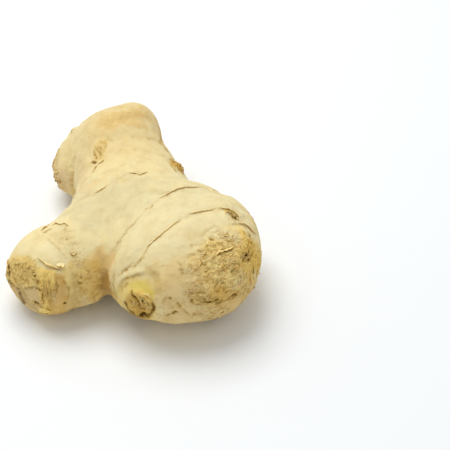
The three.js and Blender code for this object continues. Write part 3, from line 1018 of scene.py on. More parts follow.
# Regions of the skin with a colour of their own, some of them painted shade. Each covers those before it.
TINTS: tuple[tuple[Region, Colour], ...] = (
    (Patch((-8, 24, 30), 26, 0.5, 0.7), SAND),
    (Panel((58, 216, 80, 192, 130, 176, 206, 186, 186, 212, 130, 224, 90, 226), 0.8, 10), HAZE),
    (Panel((130, 200, 200, 192, 240, 215, 205, 240, 160, 262, 120, 250), 0.7, 14), MILK),
    (Panel((110, 286, 128, 276, 160, 280, 158, 330, 122, 330, 106, 304), 0.7, 5), STRAW),
    (Panel((62, 262, 76, 266, 80, 290, 84, 318, 60, 322, 64, 292), 0.7, 4), STRAW),
    (Panel((90, 136, 98, 122, 116, 111, 142, 109, 157, 120, 159, 130, 146, 122, 112, 126), 0.58, 7), RUST),
    (Panel((95, 144, 102, 139, 109, 140, 107, 150, 100, 162, 94, 160), 0.45, 2), SCAR_GOLD),
    (Panel((46, 166, 64, 164, 70, 176, 70, 186, 60, 188, 48, 184), 0.75, 7), NUB),
    # Painted shade on the nub's lower part.
    (Panel((50, 169, 67, 170, 71, 176, 71, 190, 64, 196, 54, 188), 0.65, 2.5), NUB_SHADE),
    # Painted shade along the neck's left edge, where it curves away from the light.
    (Trail((80, 160, 82, 175, 86, 190), 6, 0.5), NUB_SHADE),
    # Painted shade in the crease between the nub and the back lobe.
    (Trail((71, 172, 70.5, 180, 71.5, 188, 74, 194), 1.4, 0.5), BRONZE_AND_SHADE),
    (Trail((156, 113, 160, 122, 162, 132, 161.5, 141), 2.6, 0.8), BRONZE_AND_SHADE),
    (Panel((94, 248, 102, 240, 110, 256, 113, 280, 118, 302, 104, 302, 96, 285), 0.7, 7), RUST),
    (Panel((74, 260, 86, 258, 98, 266, 106, 282, 103, 298, 90, 305, 78, 298, 74, 280), 0.8, 5), FLANK),
    # Painted shade in the crease where the bulb meets the finger.
    (Panel((101, 272, 105, 272, 109, 280, 114, 294, 116, 306, 106, 308, 101, 290), 0.55, 4), CREASE_SHADE),
    (Panel((0, 262, 14, 256, 26, 257, 38, 263, 43, 275, 40, 288, 22, 288, 10, 290, 0, 280), 1, 4), OLIVE),
    (Panel((2, 282, 16, 286, 38, 288, 43, 300, 38, 312, 18, 316), 0.85, 1.8), ASH),
    (Panel((40, 266, 54, 270, 56, 290, 53, 316, 41, 315, 40, 290), 0.9, 3), AMBER),
    (Panel((57, 274, 63, 277, 68, 288, 67, 304, 62, 314, 51, 315, 54, 292), 0.7, 2), TAWNY),
    (Panel((70, 268, 76, 274, 80, 296, 84, 310, 66, 315, 71, 292), 0.8, 3), WHEAT),
    (Panel((46, 239, 68, 259, 66, 267, 56, 265, 46, 258, 38, 250), 0.8, 1.2), PALE),
    (Panel((190, 264, 202, 248, 220, 234, 242, 232, 256, 246, 258, 266, 248, 286, 226, 298, 202, 300), 0.8,
           12), OCHRE),
    (Panel((240, 238, 252, 244, 262, 262, 254, 284, 244, 278, 242, 258), 0.8, 6), GOLD),
    (Panel((222, 290, 240, 280, 250, 288, 236, 304, 218, 310, 204, 308, 206, 298), 0.7, 5), HONEY),
    (Panel((154, 262, 176, 256, 192, 264, 194, 288, 182, 306, 162, 306, 155, 288), 0.8, 9), ROSE),
    (Panel((150, 314, 185, 306, 220, 302, 248, 284, 240, 310, 206, 326, 165, 326), 0.6, 6), BUFF),
    (Panel((130, 284, 140, 281, 149, 284, 155, 292, 154, 299, 146, 297, 133, 294), 0.8, 4), YELLOW),
    (Panel((119, 288, 127, 282, 132, 290, 128, 301, 120, 300), 0.7, 4), MOSS),
    (Panel((114, 284, 127, 284, 128, 298, 135, 315, 122, 308, 114, 296), 0.7, 4), GLOW),
    # Painted shade down the fold on the bud's right side.
    (Trail((149, 270, 155, 275, 158, 282, 159, 290), 4.5, 0.5), BRONZE_AND_SHADE),
    (Trail((119, 291, 121, 285, 125, 280, 132, 276.5, 139, 275, 146, 274.5), 1.8, 0.25), OLIVE_DARK),
    (Panel((124, 298, 132, 292, 140, 294, 150, 296, 157, 304, 153, 315, 142, 318, 130, 313), 1, 2),
           BUD_BROWN),
    (Trail((227.5, 211.5, 232.5, 215.5, 238.5, 220), 1, 0.9), DARK),
    (Trail((244, 262, 245.5, 258, 249, 252), 0.9, 0.7), DARK),
    (Trail((133, 291, 134.5, 295, 136, 300, 138.5, 306), 1.2, 0.9), DARK),
    (Trail((126, 301, 128, 305, 131, 309, 136, 312), 1, 0.9), DARK),
    (Trail((131, 310, 137, 313, 143, 314.5, 150, 314.5), 1.1, 1), DARK),
    (Trail((150, 314, 153, 310, 154.5, 306, 152.5, 302), 0.9, 0.9), DARK),
    (Trail((142.5, 300.5, 143.5, 304), 0.9, 0.9), DARK),
    (Patch((-11.5, 46, 14), 14, 0.8, 0.6), OCHRE),
    (Patch((8, 38, 8), 14, 0.8, 0.6), RUST),
    (Patch((-31, 28, 8), 12, 0.8, 0.6), BUFF),
    (Patch((-35, -20, 8), 12, 0.7, 0.6), OLIVE),
    (Patch((38, -8, 10), 16, 0.8, 0.7), OCHRE),
    (Patch((38, -32, 6), 14, 0.7, 0.6), BUFF),
    (Patch((13.7, 10.9, 27), 3.8, 0.9, 0.5), EARTH),
    (Trail((8, 266, 9, 270), 0.8, 0.7), CHAR),
    (Trail((8, 272, 10, 277, 12, 281), 1, 0.8), CHAR),
    (Trail((9.5, 280, 11.5, 284, 14, 288, 17, 292), 1.1, 0.85), CHAR),
    (Trail((14, 284, 17, 288, 19, 292), 0.9, 0.9), CHAR),
    (Trail((17, 294, 20, 299, 24, 304), 0.8, 0.75), CHAR),
    (Trail((22, 304, 27, 308, 33, 311.5, 39, 314), 0.9, 0.7), CHAR),
    (Trail((31.5, 305, 35, 301.5, 37.5, 303, 42, 307), 1.1, 1), DARK),
    (Trail((36, 286, 40, 289, 43, 293, 42, 300), 0.9, 0.55), DARK),
    (Trail((113.5, 284, 115, 290, 117, 298), 0.7, 0.4), DARK),
)


def skin_tints(sites: Sites, noise: GradientNoise) -> Array:
    """The skin's colour at each site before its fine markings.

    Args:
        sites: Where.
        noise: What mottles the skin and frays the edges of its tints.

    Returns:
        One linear colour a site: cream mottled with tan, darker and warmer where it faces down as painted
            shade
        and bounced light, and then mixed with each tint in turn by its cover.
    """
    stray = noise.fractal(sites.points + 30.0, 6.0, 4)
    # Painted shade: darker and warmer where the skin faces down, standing in for shade and light bounced up
    # from the floor.
    under = 0.45 * smooth_step(0.15 * stray - sites.outward[:, 2], -0.45, 0.6)[:, None]
    mottle = 0.5 * smooth_step(noise.fractal(sites.points, 12.0, 4, 0.6), -0.1, 0.9)[:, None]
    colour = np.array(CREAM) * (1.0 - mottle) + np.array(TAN) * mottle
    colour = colour * (1.0 - under) + np.array(UNDERSIDE_SHADE) * under
    for region, tint in TINTS:
        cover = region.cover(sites, stray)[:, None]
        colour = colour * (1.0 - cover) + np.array(tint) * cover
    return colour


# --- Meshing ---


@dataclass
class QuadMesh:
    """Vertices and four-sided faces, as whole arrays."""

    points: Array
    quads: Array

    def edges(self) -> tuple[Array, Array]:
        """Each edge once, and for each face the numbers of its four edges.

        Returns:
            The edges as pairs of vertices, and a row of four edge numbers for each face.
        """
        ends = np.stack([self.quads, np.roll(self.quads, -1, axis=1)], axis=2).reshape(-1, 2)
        found, where = np.unique(np.sort(ends, axis=1), axis=0, return_inverse=True)
        return found, where.reshape(-1, 4)

    def divided(self) -> "QuadMesh":
        """Cuts each face into four at its middle and at the middles of its edges.

        Returns:
            The finer mesh: the old vertices, then the edges' middles, then the faces' middles.
        """
        edges, of_face = self.edges()
        edge_at = len(self.points)
        face_at = edge_at + len(edges)
        middles = self.points[edges].mean(axis=1)
        centres = self.points[self.quads].mean(axis=1)
        after = edge_at + of_face
        before = np.roll(after, 1, axis=1)
        centre = np.repeat(face_at + np.arange(len(self.quads))[:, None], 4, axis=1)
        quads = np.stack([self.quads, after, centre, before], axis=2).reshape(-1, 4)
        return QuadMesh(np.vstack([self.points, middles, centres]), quads)

    def spread(self, values: Array, rounds: int) -> Array:
        """Some numbers of each vertex, smoothed: each round moves them half way to their neighbours' mean.

        Args:
            values: One number or one row for each vertex.
            rounds: How many rounds.

        Returns:
            The smoothed numbers.
        """
        edges, _ = self.edges()
        ends = np.concatenate([edges[:, 0], edges[:, 1]])
        others = np.concatenate([edges[:, 1], edges[:, 0]])
        count = np.bincount(ends, minlength=len(self.points))[:, None]
        rows = values.reshape(len(values), -1)
        for _ in range(rounds):
            sums = [np.bincount(ends, row[others], len(rows)) for row in rows.T]
            rows = 0.5 * rows + 0.5 * np.stack(sums, axis=1) / count
        return rows.reshape(values.shape)

    def evened(self, form: RootForm, rounds: int) -> "QuadMesh":
        """Spreads the vertices more evenly over the body.

        Args:
            form: The body, onto which the vertices are pulled back each time.
            rounds: How many times they are smoothed.

        Returns:
            The same faces over the moved vertices.
        """
        points = self.points
        for _ in range(rounds):
            points = form.pulled(self.spread(points, 1), rounds=1)
        return QuadMesh(points, self.quads)


@dataclass(frozen=True)
class SurfaceNet:
    """Meshes the zero level of a form: one vertex in each grid cell that the skin passes through."""

    cell: float = 1.1
    margin: float = 3.0

    def mesh(self, form: RootForm) -> QuadMesh:
        """The net of the form.

        A cell's vertex is the mean of the points where the skin crosses its twelve edges. Each grid edge
        that the skin crosses gives one face, through the vertices of the four cells round it.

        Args:
            form: The body to mesh.

        Returns:
            The closed mesh, with its faces pointing out.
        """
        low, high = form.extent(self.margin)
        counts = np.ceil((high - low) / self.cell).astype(int) + 1
        grid = self._indices(counts).reshape(-1, 3)
        level = form.level(low + self.cell * grid).reshape(counts)
        inside = level < 0
        sums, hits, crossed = self._crossings(level, inside)
        number = np.full(hits.shape, -1)
        used = hits > 0
        number[used] = np.arange(used.sum())
        points = low + self.cell * sums[used] / hits[used][:, None]
        faces = [self._faces(number, inside, axis, cut) for axis, cut in enumerate(crossed)]
        return QuadMesh(points, np.vstack(faces))

    @staticmethod
    def _indices(shape: Sequence[int]) -> Array:
        """The three numbers of each place in a block."""
        return np.stack(np.meshgrid(*[np.arange(n) for n in shape], indexing="ij"), axis=-1)

    def _crossings(self, level: Array, inside: Array) -> tuple[Array, Array, list[Array]]:
        """Sums up, for each cell, where the skin crosses its edges.

        Args:
            level: The level at each grid point.
            inside: Where the level is below zero.

        Returns:
            The sum of the crossings of each cell, how many there are, and which edges of each axis cross.
        """
        shape = np.array(level.shape) - 1
        sums, hits, crossed = np.zeros((*shape, 3)), np.zeros(shape), []
        for axis in range(3):
            first, second = [slice(None)] * 3, [slice(None)] * 3
            first[axis], second[axis] = slice(0, -1), slice(1, None)
            a, b = level[tuple(first)], level[tuple(second)]
            cut = inside[tuple(first)] != inside[tuple(second)]
            crossed.append(cut)
            place = self._indices(a.shape).astype(float)
            place[..., axis] += np.where(cut, a / np.where(cut, a - b, 1.0), 0.0)
            u, v = (axis + 1) % 3, (axis + 2) % 3
            for shift in np.ndindex(2, 2):
                part = [slice(None)] * 3
                part[u] = slice(shift[0], shape[u] + shift[0])
                part[v] = slice(shift[1], shape[v] + shift[1])
                sums += np.where(cut[tuple(part)][..., None], place[tuple(part)], 0.0)
                hits += cut[tuple(part)]
        return sums, hits, crossed

    @staticmethod
    def _faces(number: Array, inside: Array, axis: int, cut: Array) -> Array:
        """The faces across the crossed grid edges along one axis.

        Args:
            number: Each cell's vertex number.
            inside: Which grid points are inside the body.
            axis: The edges' axis.
            cut: Which edges the skin crosses.

        Returns:
            One face a row, its vertices anticlockwise seen from outside.
        """
        u, v = (axis + 1) % 3, (axis + 2) % 3
        at = np.argwhere(cut)
        step_u, step_v = np.eye(3, dtype=int)[u], np.eye(3, dtype=int)[v]
        corners = [at - step_u - step_v, at - step_v, at, at - step_u]
        faces = np.stack([number[tuple(corner.T)] for corner in corners], axis=1)
        outward = inside[tuple(at.T)]
        return np.where(outward[:, None], faces, faces[:, ::-1])


@dataclass
class Lines:
    """The nearest stroke of each point: how far, where on it, and its width and the rest there."""

    away: Array
    foot: Array
    width: Array
    depth: Array
    dark: Array
    step: Array

    @classmethod
    def near(cls, sites: Sites, strokes: Sequence[Stroke], reach: float = 7.0) -> "Lines":
        """Finds the nearest stroke of each site.

        Args:
            sites: Where.
            strokes: The strokes to measure from.
            reach: How far from a stroke it is looked for, in mm.

        Returns:
            The nearest stroke's facts. Away is positive on the left of the stroke, seen from outside.
        """
        count = len(sites.points)
        lines = cls(np.full(count, 99.0), sites.points.copy(), *(np.zeros(count) for _ in range(4)))
        for stroke in strokes:
            middle = stroke.path.mean(axis=0)
            span = np.linalg.norm(stroke.path - middle, axis=1).max() + reach
            close = np.linalg.norm(sites.points - middle, axis=1) < span
            lines.measure(sites, np.flatnonzero(close), stroke)
        return lines

    def vary(self, noise: GradientNoise) -> None:
        """Makes each stroke thicken, thin and fade along its run.

        Args:
            noise: The noise that is read at the nearest place on the stroke, a fine one and a slow one.
        """
        fine, slow = noise.at(self.foot, 1.3), noise.at(self.foot + 20.0, 3.1)
        self.width = self.width * np.clip(0.95 + 0.8 * fine + 0.4 * slow, 0.3, 1.8)
        self.depth = self.depth * np.clip(0.95 + 0.5 * fine + 0.5 * slow, 0.3, 1.5)
        self.dark = self.dark * np.clip(0.95 + 0.5 * fine + 0.6 * slow, 0.35, 1.0)

    def measure(self, sites: Sites, close: Array, stroke: Stroke) -> None:
        """Measures one stroke from the sites close to it, and keeps it where it is the nearest.

        The distance is to the nearest point of the chain of straight pieces. Its sign is that of
        (piece x way) . outward direction. The width, depth and darkness taper off towards both ends as
        the root of 4 t (1 - t), and the step as its square.

        Args:
            sites: Where.
            close: The numbers of the sites to measure.
            stroke: The stroke.
        """
        start, piece = stroke.path[:-1], np.diff(stroke.path, axis=0)
        points = sites.points[close]
        way = points[:, None, :] - start[None]
        t = np.clip((way * piece).sum(-1) / np.maximum((piece * piece).sum(-1), 1e-9), 0.0, 1.0)
        foot = start[None] + t[..., None] * piece[None]
        away = np.linalg.norm(points[:, None, :] - foot, axis=-1)
        best = away.argmin(axis=1)
        row = np.arange(len(points))
        away, foot, t = away[row, best], foot[row, best], t[row, best]
        side = np.sign(np.einsum("ij,ij->i", np.cross(piece[best], points - foot), sites.outward[close]))
        side = np.where(side == 0, 1.0, side)
        along = (best + t) / len(piece)
        taper = np.sqrt(np.clip(4.0 * along * (1.0 - along), 0.04, 1.0))
        take = away < np.abs(self.away[close])
        chosen = close[take]
        self.away[chosen] = (side * away)[take]
        self.foot[chosen] = foot[take]
        self.width[chosen] = (stroke.width * taper)[take]
        self.depth[chosen] = (stroke.depth * taper)[take]
        self.dark[chosen] = (stroke.dark * np.minimum(1.0, 1.3 * taper))[take]
        self.step[chosen] = (stroke.step * taper**2)[take]

    def height(self) -> Array:
        """The relief of the strokes: a groove, and a raised edge that fades out on the stepped side.

        Returns:
            The relief in mm: -depth bell(away, half width + 0.15) + step exp(-away / 2.2). The step
            comes in smoothly between 0.15 mm before the line and 0.3 mm past it.
        """
        groove = -self.depth * bell(self.away, 0.5 * self.width + 0.15)
        raised = smooth_step(self.away, -0.15, 0.3) * np.exp(-np.maximum(self.away, 0.0) / 2.2)
        return groove + self.step * raised


@dataclass
class Relief:
    """How far the skin stands off the body: rings, strokes, spots, bark and swell.

    Each height and length in mm is that of one kind of unevenness.
    """

    ground: Ground
    wander_height: float = 0.8
    wander_length: float = 11.0
    waver_length: float = 3.3
    swell_height: float = 0.28
    swell_length: float = 17.0
    wrinkle_height: float = 0.09
    wrinkle_length: float = 4.5
    crag_height: float = 0.3
    crag_length: float = 5.0
    ridge_height: float = 0.16
    ridge_length: float = 2.6
    pit_depth: float = 0.22
    pit_length: float = 1.9
    fold_reach: float = 9.0
    strokes: list[Stroke] = field(init=False)
    folds: list[Stroke] = field(init=False)

    def __post_init__(self) -> None:
        """Lays the cracks, the scars' cracks and the folds on the ground."""
        self.strokes = [crack.stroke(self.ground) for crack in CRACKS]
        self.strokes += [stroke for scar in SCARS for stroke in scar.strokes(self.ground)]
        self.folds = [fold.stroke(self.ground) for fold in FOLDS]

    def lines(self, sites: Sites) -> Lines:
        """The nearest stroke of each site.

        Args:
            sites: The places on the body.

        Returns:
            Where it is and what it is like there, with its width and depth varied along its run.
        """
        lines = Lines.near(sites, self.strokes)
        lines.vary(self.ground.noise)
        return lines

    def whole(self, sites: Sites) -> Array:
        """The whole relief at each site, in mm."""
        return self.height(sites, self.lines(sites), RingLines.at(sites, self), self.bark(sites))

    def bark(self, sites: Sites) -> Array:
        """How corky the skin is at each site, from 0 to 1."""
        stray = self.ground.noise.fractal(sites.points, 5.0, 3)
        return np.max([region.cover(sites, stray) for region in BARK], axis=0)

    def height(self, sites: Sites, lines: Lines, rings: "RingLines", bark: Array) -> Array:
        """The whole relief, from what has been worked out of it.

        Args:
            sites: Where.
            lines: The nearest strokes.
            rings: The rings at each site.
            bark: How corky the skin is.

        Returns:
            The relief in mm, along the outward direction.
        """
        spots = sum(spot.height(sites.points) for spot in SPOTS)
        folds = sum(Lines.near(sites, [fold], self.fold_reach).height() for fold in self.folds)
        return rings.height + lines.height() + spots + folds + self._texture(sites.points, bark)

    def _texture(self, points: Array, bark: Array) -> Array:
        """The swell of the whole skin, its faint wrinkles, and the crags, ridges and pits of its bark.

        Args:
            points: One point a row.
            bark: How corky the skin is.

        Returns:
            The relief in mm.
        """
        noise = self.ground.noise
        swell = self.swell_height * noise.fractal(points, self.swell_length, 2)
        swell = swell + self.wrinkle_height * noise.fractal(points, self.wrinkle_length, 3)
        crags = self.crag_height * noise.fractal(points + 5.0, self.crag_length, 3)
        crags = crags + self.ridge_height * noise.ridged(points, self.ridge_length, 2)
        pits = -self.pit_depth * smooth_step(noise.fractal(points + 8.0, self.pit_length, 2), 0.15, 0.6)
        return swell + bark * (crags + pits)


# A ring's relief: how deep its hollow is in mm and how wide, and where its lips are and how high.
RING_DEPTH = 0.22
HOLLOW_WIDTH = 1.5
LIP_AT = 2.6
LIP_WIDTH = 1.6
LIP_HEIGHT = 0.4


@dataclass
class RingLines:
    """The rings at each site: their soft relief, and the nearest one's distance and strength."""

    height: Array
    across: Array
    shown: Array

    @classmethod
    def at(cls, sites: Sites, relief: Relief) -> "RingLines":
        """Works out the rings at some sites.

        Each ring is a shallow hollow between two low lips. Its line is drawn only on the sides that don't
        face the viewpoint, because strokes draw it on the side that does.

        Args:
            sites: Where.
            relief: The relief that the rings belong to.

        Returns:
            The rings.
        """
        shares: dict[Part, Array] = {}
        relief.ground.form.level(sites.points, shares)
        noise, count = relief.ground.noise, len(sites.points)
        wander = relief.wander_height * noise.at(sites.points, relief.wander_length)
        fine = 0.4 * noise.at(sites.points, relief.waver_length)
        height, nearest, shown = np.zeros(count), np.full(count, 9.0), np.zeros(count)
        for ring in RINGS:
            across, show = ring.across(sites.points, wander), ring.shows(sites.points, shares)
            lips = LIP_HEIGHT * bell(np.abs(across) - LIP_AT, LIP_WIDTH)
            height += RING_DEPTH * ring.depth * show * (lips - bell(across, HOLLOW_WIDTH))
            take = (np.abs(across + fine) < np.abs(nearest)) & (show > 0.15)
            nearest, shown = np.where(take, across + fine, nearest), np.where(take, show, shown)
        whole = smooth_step(noise.fractal(sites.points + 50.0, 6.0, 2), -0.45, 0.15)
        unseen = 1.0 - smooth_step(sites.facing, 0.1, 0.32)
        shown = shown * whole * unseen * smooth_step(-np.abs(nearest), -2.2, -1.4)
        step = 0.22 * smooth_step(nearest, 0.3, -0.1) * bell(nearest, 2.0)
        return cls(height + shown * (step - 0.3 * bell(nearest, 0.4)), nearest, shown)


# --- The pieces: the skin, and the dead skin on it ---


@dataclass
class Layer:
    """A piece that lies on the body and follows its relief."""

    relief: Relief
    name: str = ""

    def pulled(self, points: Array, rounds: int = 2, reach: float = 0.6) -> Sites:
        """The sites of some points, once they are pulled onto the body."""
        ground = self.relief.ground
        return ground.sites(ground.form.pulled(points, rounds, reach))

    def held(self, sites: Sites, lift: Array | float = 0.0) -> Array:
        """The points of the finished skin at some sites, or as far above it as the lift."""
        return sites.points + (self.relief.whole(sites) + lift)[:, None] * sites.outward

    def tints(self, sites: Sites) -> Array:
        """The skin's colour at each site."""
        return skin_tints(sites, self.relief.ground.noise)

    def piece(
        self, points: Array, faces: Array, fields: dict[str, Array], tint: Array, finish: Material
    ) -> Piece:
        """The layer's object, with the fields that its finish reads.

        Args:
            points: One vertex a row, in mm.
            faces: One face a row.
            fields: One number a vertex under each name.
            tint: One colour a vertex.
            finish: The material.

        Returns:
            The object, in metres.
        """
        piece = mesh_object(self.name, points * MM, faces, finish)
        for name, values in fields.items():
            float_field(piece, name, values)
        colour_field(piece, "tint", tint)
        return piece


@dataclass
class Skin(Layer):
    """The finished skin: a mesh with its relief, and the fields that its finish reads."""

    net: SurfaceNet = field(default_factory=SurfaceNet)
    snap: float = 0.3
    name: str = "skin"

    def build(self, finish: Material) -> Piece:
        """Makes the skin's object.

        Args:
            finish: The material of the skin.

        Returns:
            The object, in metres.
        """
        base = self._body()
        sites = self.relief.ground.sites(base.points)
        lines = self.relief.lines(sites)
        rings = RingLines.at(sites, self.relief)
        bark = self.relief.bark(sites)
        height = self.relief.height(sites, lines, rings, bark)
        points = sites.points + height[:, None] * sites.outward
        points[:, 2] = np.maximum(points[:, 2], 0.0)
        spots = [spot.brown * (1.0 - smooth_step(spot.distance(sites.points), 0.6, 1.4)) for spot in SPOTS]
        fields = {
            "line_mm": np.minimum(np.abs(lines.away) - 0.5 * lines.width, 3.0),
            "line_dark": lines.dark,
            "ring_mm": rings.across,
            "ring_show": rings.shown,
            "bark": bark,
            # How far the relief lies below its smoothed self; the finish paints shade into hollows and a
            # highlight on crests from it.
            "hollow": base.spread(height, 3) - height,
            "spot": np.max(spots, axis=0),
        }
        return self.piece(points, base.quads, fields, self.tints(sites), finish)

    def _body(self) -> QuadMesh:
        """Makes the body's mesh, with rows of vertices drawn onto the strokes.

        Returns:
            The evened mesh, whose vertices nearer than the snap to a stroke lie on its line.
        """
        ground = self.relief.ground
        coarse = self.net.mesh(ground.form).evened(ground.form, 3)
        fine = coarse.divided().evened(ground.form, 2)
        lines = Lines.near(ground.sites(fine.points), self.relief.strokes, 1.0)
        onto = np.abs(lines.away) < self.snap
        points = np.where(onto[:, None], lines.foot, fine.points)
        return QuadMesh(ground.form.pulled(points, rounds=1), fine.quads)


@dataclass(frozen=True)
class PaperEdge:
    """A torn edge of dry skin that reaches over a line, to the right of the line's direction.

    Reach is how far it sticks out past the line in mm, lift its angle to the skin in degrees, curl how much
    more it turns up by its tip, and pale how cream its tip is.
    """

    places: Places
    reach: float
    lift: float
    curl: float
    pale: float


PAPER_EDGE_ROWS = (
    ((37, 258.5, 43, 262, 49, 265.5, 55, 268, 63, 268), 0.7, 10, 30, 0.45),
    ((56, 266, 60, 264.5, 65, 265), 1.3, 12, 30, 0.85),
    ((220, 208, 228, 210, 234, 214, 239, 219), 0.7, 15, 30, 0.6),
    ((224, 211, 229, 213, 234, 218), 0.6, 15, 40, 0.9),
    ((189, 215, 196, 212, 203, 210.5, 217, 208), 0.2, 4, 10, 0.5),
    ((144, 257, 148, 246, 154, 240, 163, 232, 172, 225, 182, 219), 0.18, 4, 10, 0.5),
    ((160, 198.5, 163, 197, 170, 192.5, 178, 189, 186, 187.5, 195, 187, 203, 187), 0.2, 4, 10, 0.5),
    ((128, 173.5, 134, 173, 140, 174.5, 148, 172), 0.25, 6, 12, 0.5),
    ((96, 193.5, 102, 189, 107, 186), 0.2, 6, 12, 0.5),
    ((52, 226, 56, 223.5, 60, 225, 65, 224, 68, 227), 0.3, 8, 20, 0.4),
    ((42, 231, 44, 228, 48, 226), 0.3, 8, 20, 0.4),
    ((238, 224, 243, 224, 248, 227, 253, 232, 257, 235), 0.35, 10, 25, 0.7),
    ((216, 257, 219, 252.5, 224, 251, 234, 248), 0.4, 10, 25, 0.6),
    ((53, 171, 56, 173, 60, 172), 0.25, 5, 12, 0.5),
    ((70, 253, 73, 256, 77, 253), 0.35, 10, 30, 0.3),
    ((32, 304.5, 35, 302, 37.5, 303, 43, 307), 0.5, 15, 25, 0.3),
    ((10, 270, 13, 279, 18, 288, 24, 296), 0.6, 20, 30, 0.5),
)
PAPER_EDGES = tuple(PaperEdge(*row) for row in PAPER_EDGE_ROWS)


@dataclass(frozen=True)
class Plate:
    """Thin curled plates of dry skin, worked out column by column from the side that is held."""

    rows: int
    thick: float
    sunk: float

    def sides(self, held: Array, right: Array, up: Array, length: Array, lift: Array, curl: Array) -> Array:
        """The vertices of the top and of the bottom.

        Row s of a column lies at held + length s (right cos(angle) + up sin(angle)), where the angle grows
        along it from the lift by the curl. The plate thins towards its tip, and its held side is sunk.

        Args:
            held: Where each column is held, on the finished skin.
            right: The direction each column runs in.
            up: The outward direction at each column.
            length: How long each column is, in mm.
            lift: The angle of each column to the skin, in degrees.
            curl: How much more each column turns up by its tip, in degrees.

        Returns:
            An array of top and bottom, column, row and axis.
        """
        s = np.linspace(0.0, 1.0, self.rows)[None, :, None]
        lift, curl, length = lift[:, None, None], curl[:, None, None], length[:, None, None]
        right, up = right[:, None], up[:, None]
        angle = np.radians(lift + curl * s)
        flat = held[:, None] + length * s * (right * np.cos(angle) + up * np.sin(angle))
        thickness = self.thick * (1.0 - 0.6 * s)
        top = flat + up * (thickness - self.sunk * (1.0 - s) ** 2)
        bottom = top - up * (thickness + 2.0 * self.sunk * (1.0 - s) ** 2)
        return np.stack([top, bottom])

    def faces(self, columns: int) -> Array:
        """The faces of one closed plate, whose bottom's vertices follow its top's.

        Args:
            columns: How many columns the plate has.

        Returns:
            One four-sided face a row, pointing out.
        """
        drop = columns * self.rows
        at = np.arange(drop).reshape(columns, self.rows)
        top = np.stack([at[:-1, :-1], at[:-1, 1:], at[1:, 1:], at[1:, :-1]], axis=-1).reshape(-1, 4)
        rim = np.concatenate([at[:, 0], at[-1, 1:], at[-2::-1, -1], at[0, -2:0:-1]])
        after = np.roll(rim, -1)
        wall = np.stack([rim, after, after + drop, rim + drop], axis=1)
        return np.vstack([top, top[:, ::-1] + drop, wall])


@dataclass
class PaperEdges(Layer):
    """All the torn edges, as one mesh of thin closed strips."""

    plate: Plate = Plate(5, 0.14, 0.1)
    spacing: float = 0.6
    held_back: float = 0.5
    name: str = "papery_edges"

    def build(self, finish: Material) -> Piece:
        """Makes the edges' object.

        Args:
            finish: The material of the paper.

        Returns:
            The object, in metres.
        """
        rows = self.plate.rows
        strips, tints = zip(*[self._strip(edge, number) for number, edge in enumerate(PAPER_EDGES)])
        counts = [len(strip) for strip in strips]
        starts = np.cumsum([0, *counts[:-1]])
        faces = [self.plate.faces(count // (2 * rows)) + start for count, start in zip(counts, starts)]
        fields = {
            "out": np.tile(np.linspace(0.0, 1.0, rows), sum(counts) // rows),
            "pale": np.repeat([edge.pale for edge in PAPER_EDGES], counts),
        }
        return self.piece(np.vstack(strips), np.vstack(faces), fields, np.vstack(tints), finish)

    def _strip(self, edge: PaperEdge, number: int) -> tuple[Array, Array]:
        """One edge's vertices.

        Each column starts on the skin a little to the left of the line and reaches over it. Its length is
        ragged, and nothing at both ends.

        Args:
            edge: The edge.
            number: Its number, which its raggedness is drawn from.

        Returns:
            The top's vertices and then the bottom's, and the skin's colour at each.
        """
        ground = self.relief.ground
        course = Course(edge.places)
        line = ground.seen(course.even(max(4, int(course.length / self.spacing))))
        along = unit(np.gradient(line, axis=0))
        right = unit(np.cross(along, unit(ground.form.slope(line))))
        sites = self.pulled(line - self.held_back * right)
        t = np.linspace(0.0, 1.0, len(line))
        ragged = 0.75 + 1.1 * ground.noise.fractal(line + 7.0 * number, 0.9, 2)
        ragged = ragged + 0.5 * ground.noise.at(line + 3.0 * number, 3.0)
        length = self.held_back + edge.reach * np.clip(ragged, 0.05, 1.5)
        length = length * np.minimum(1.0, 5.0 * t * (1.0 - t) + 0.05)
        lift, curl = np.full(len(line), edge.lift), np.full(len(line), edge.curl)
        sides = self.plate.sides(self.held(sites), right, sites.outward, length, lift, curl)
        tint = np.tile(np.repeat(self.tints(sites), self.plate.rows, axis=0), (2, 1))
        return sides.reshape(-1, 3), tint


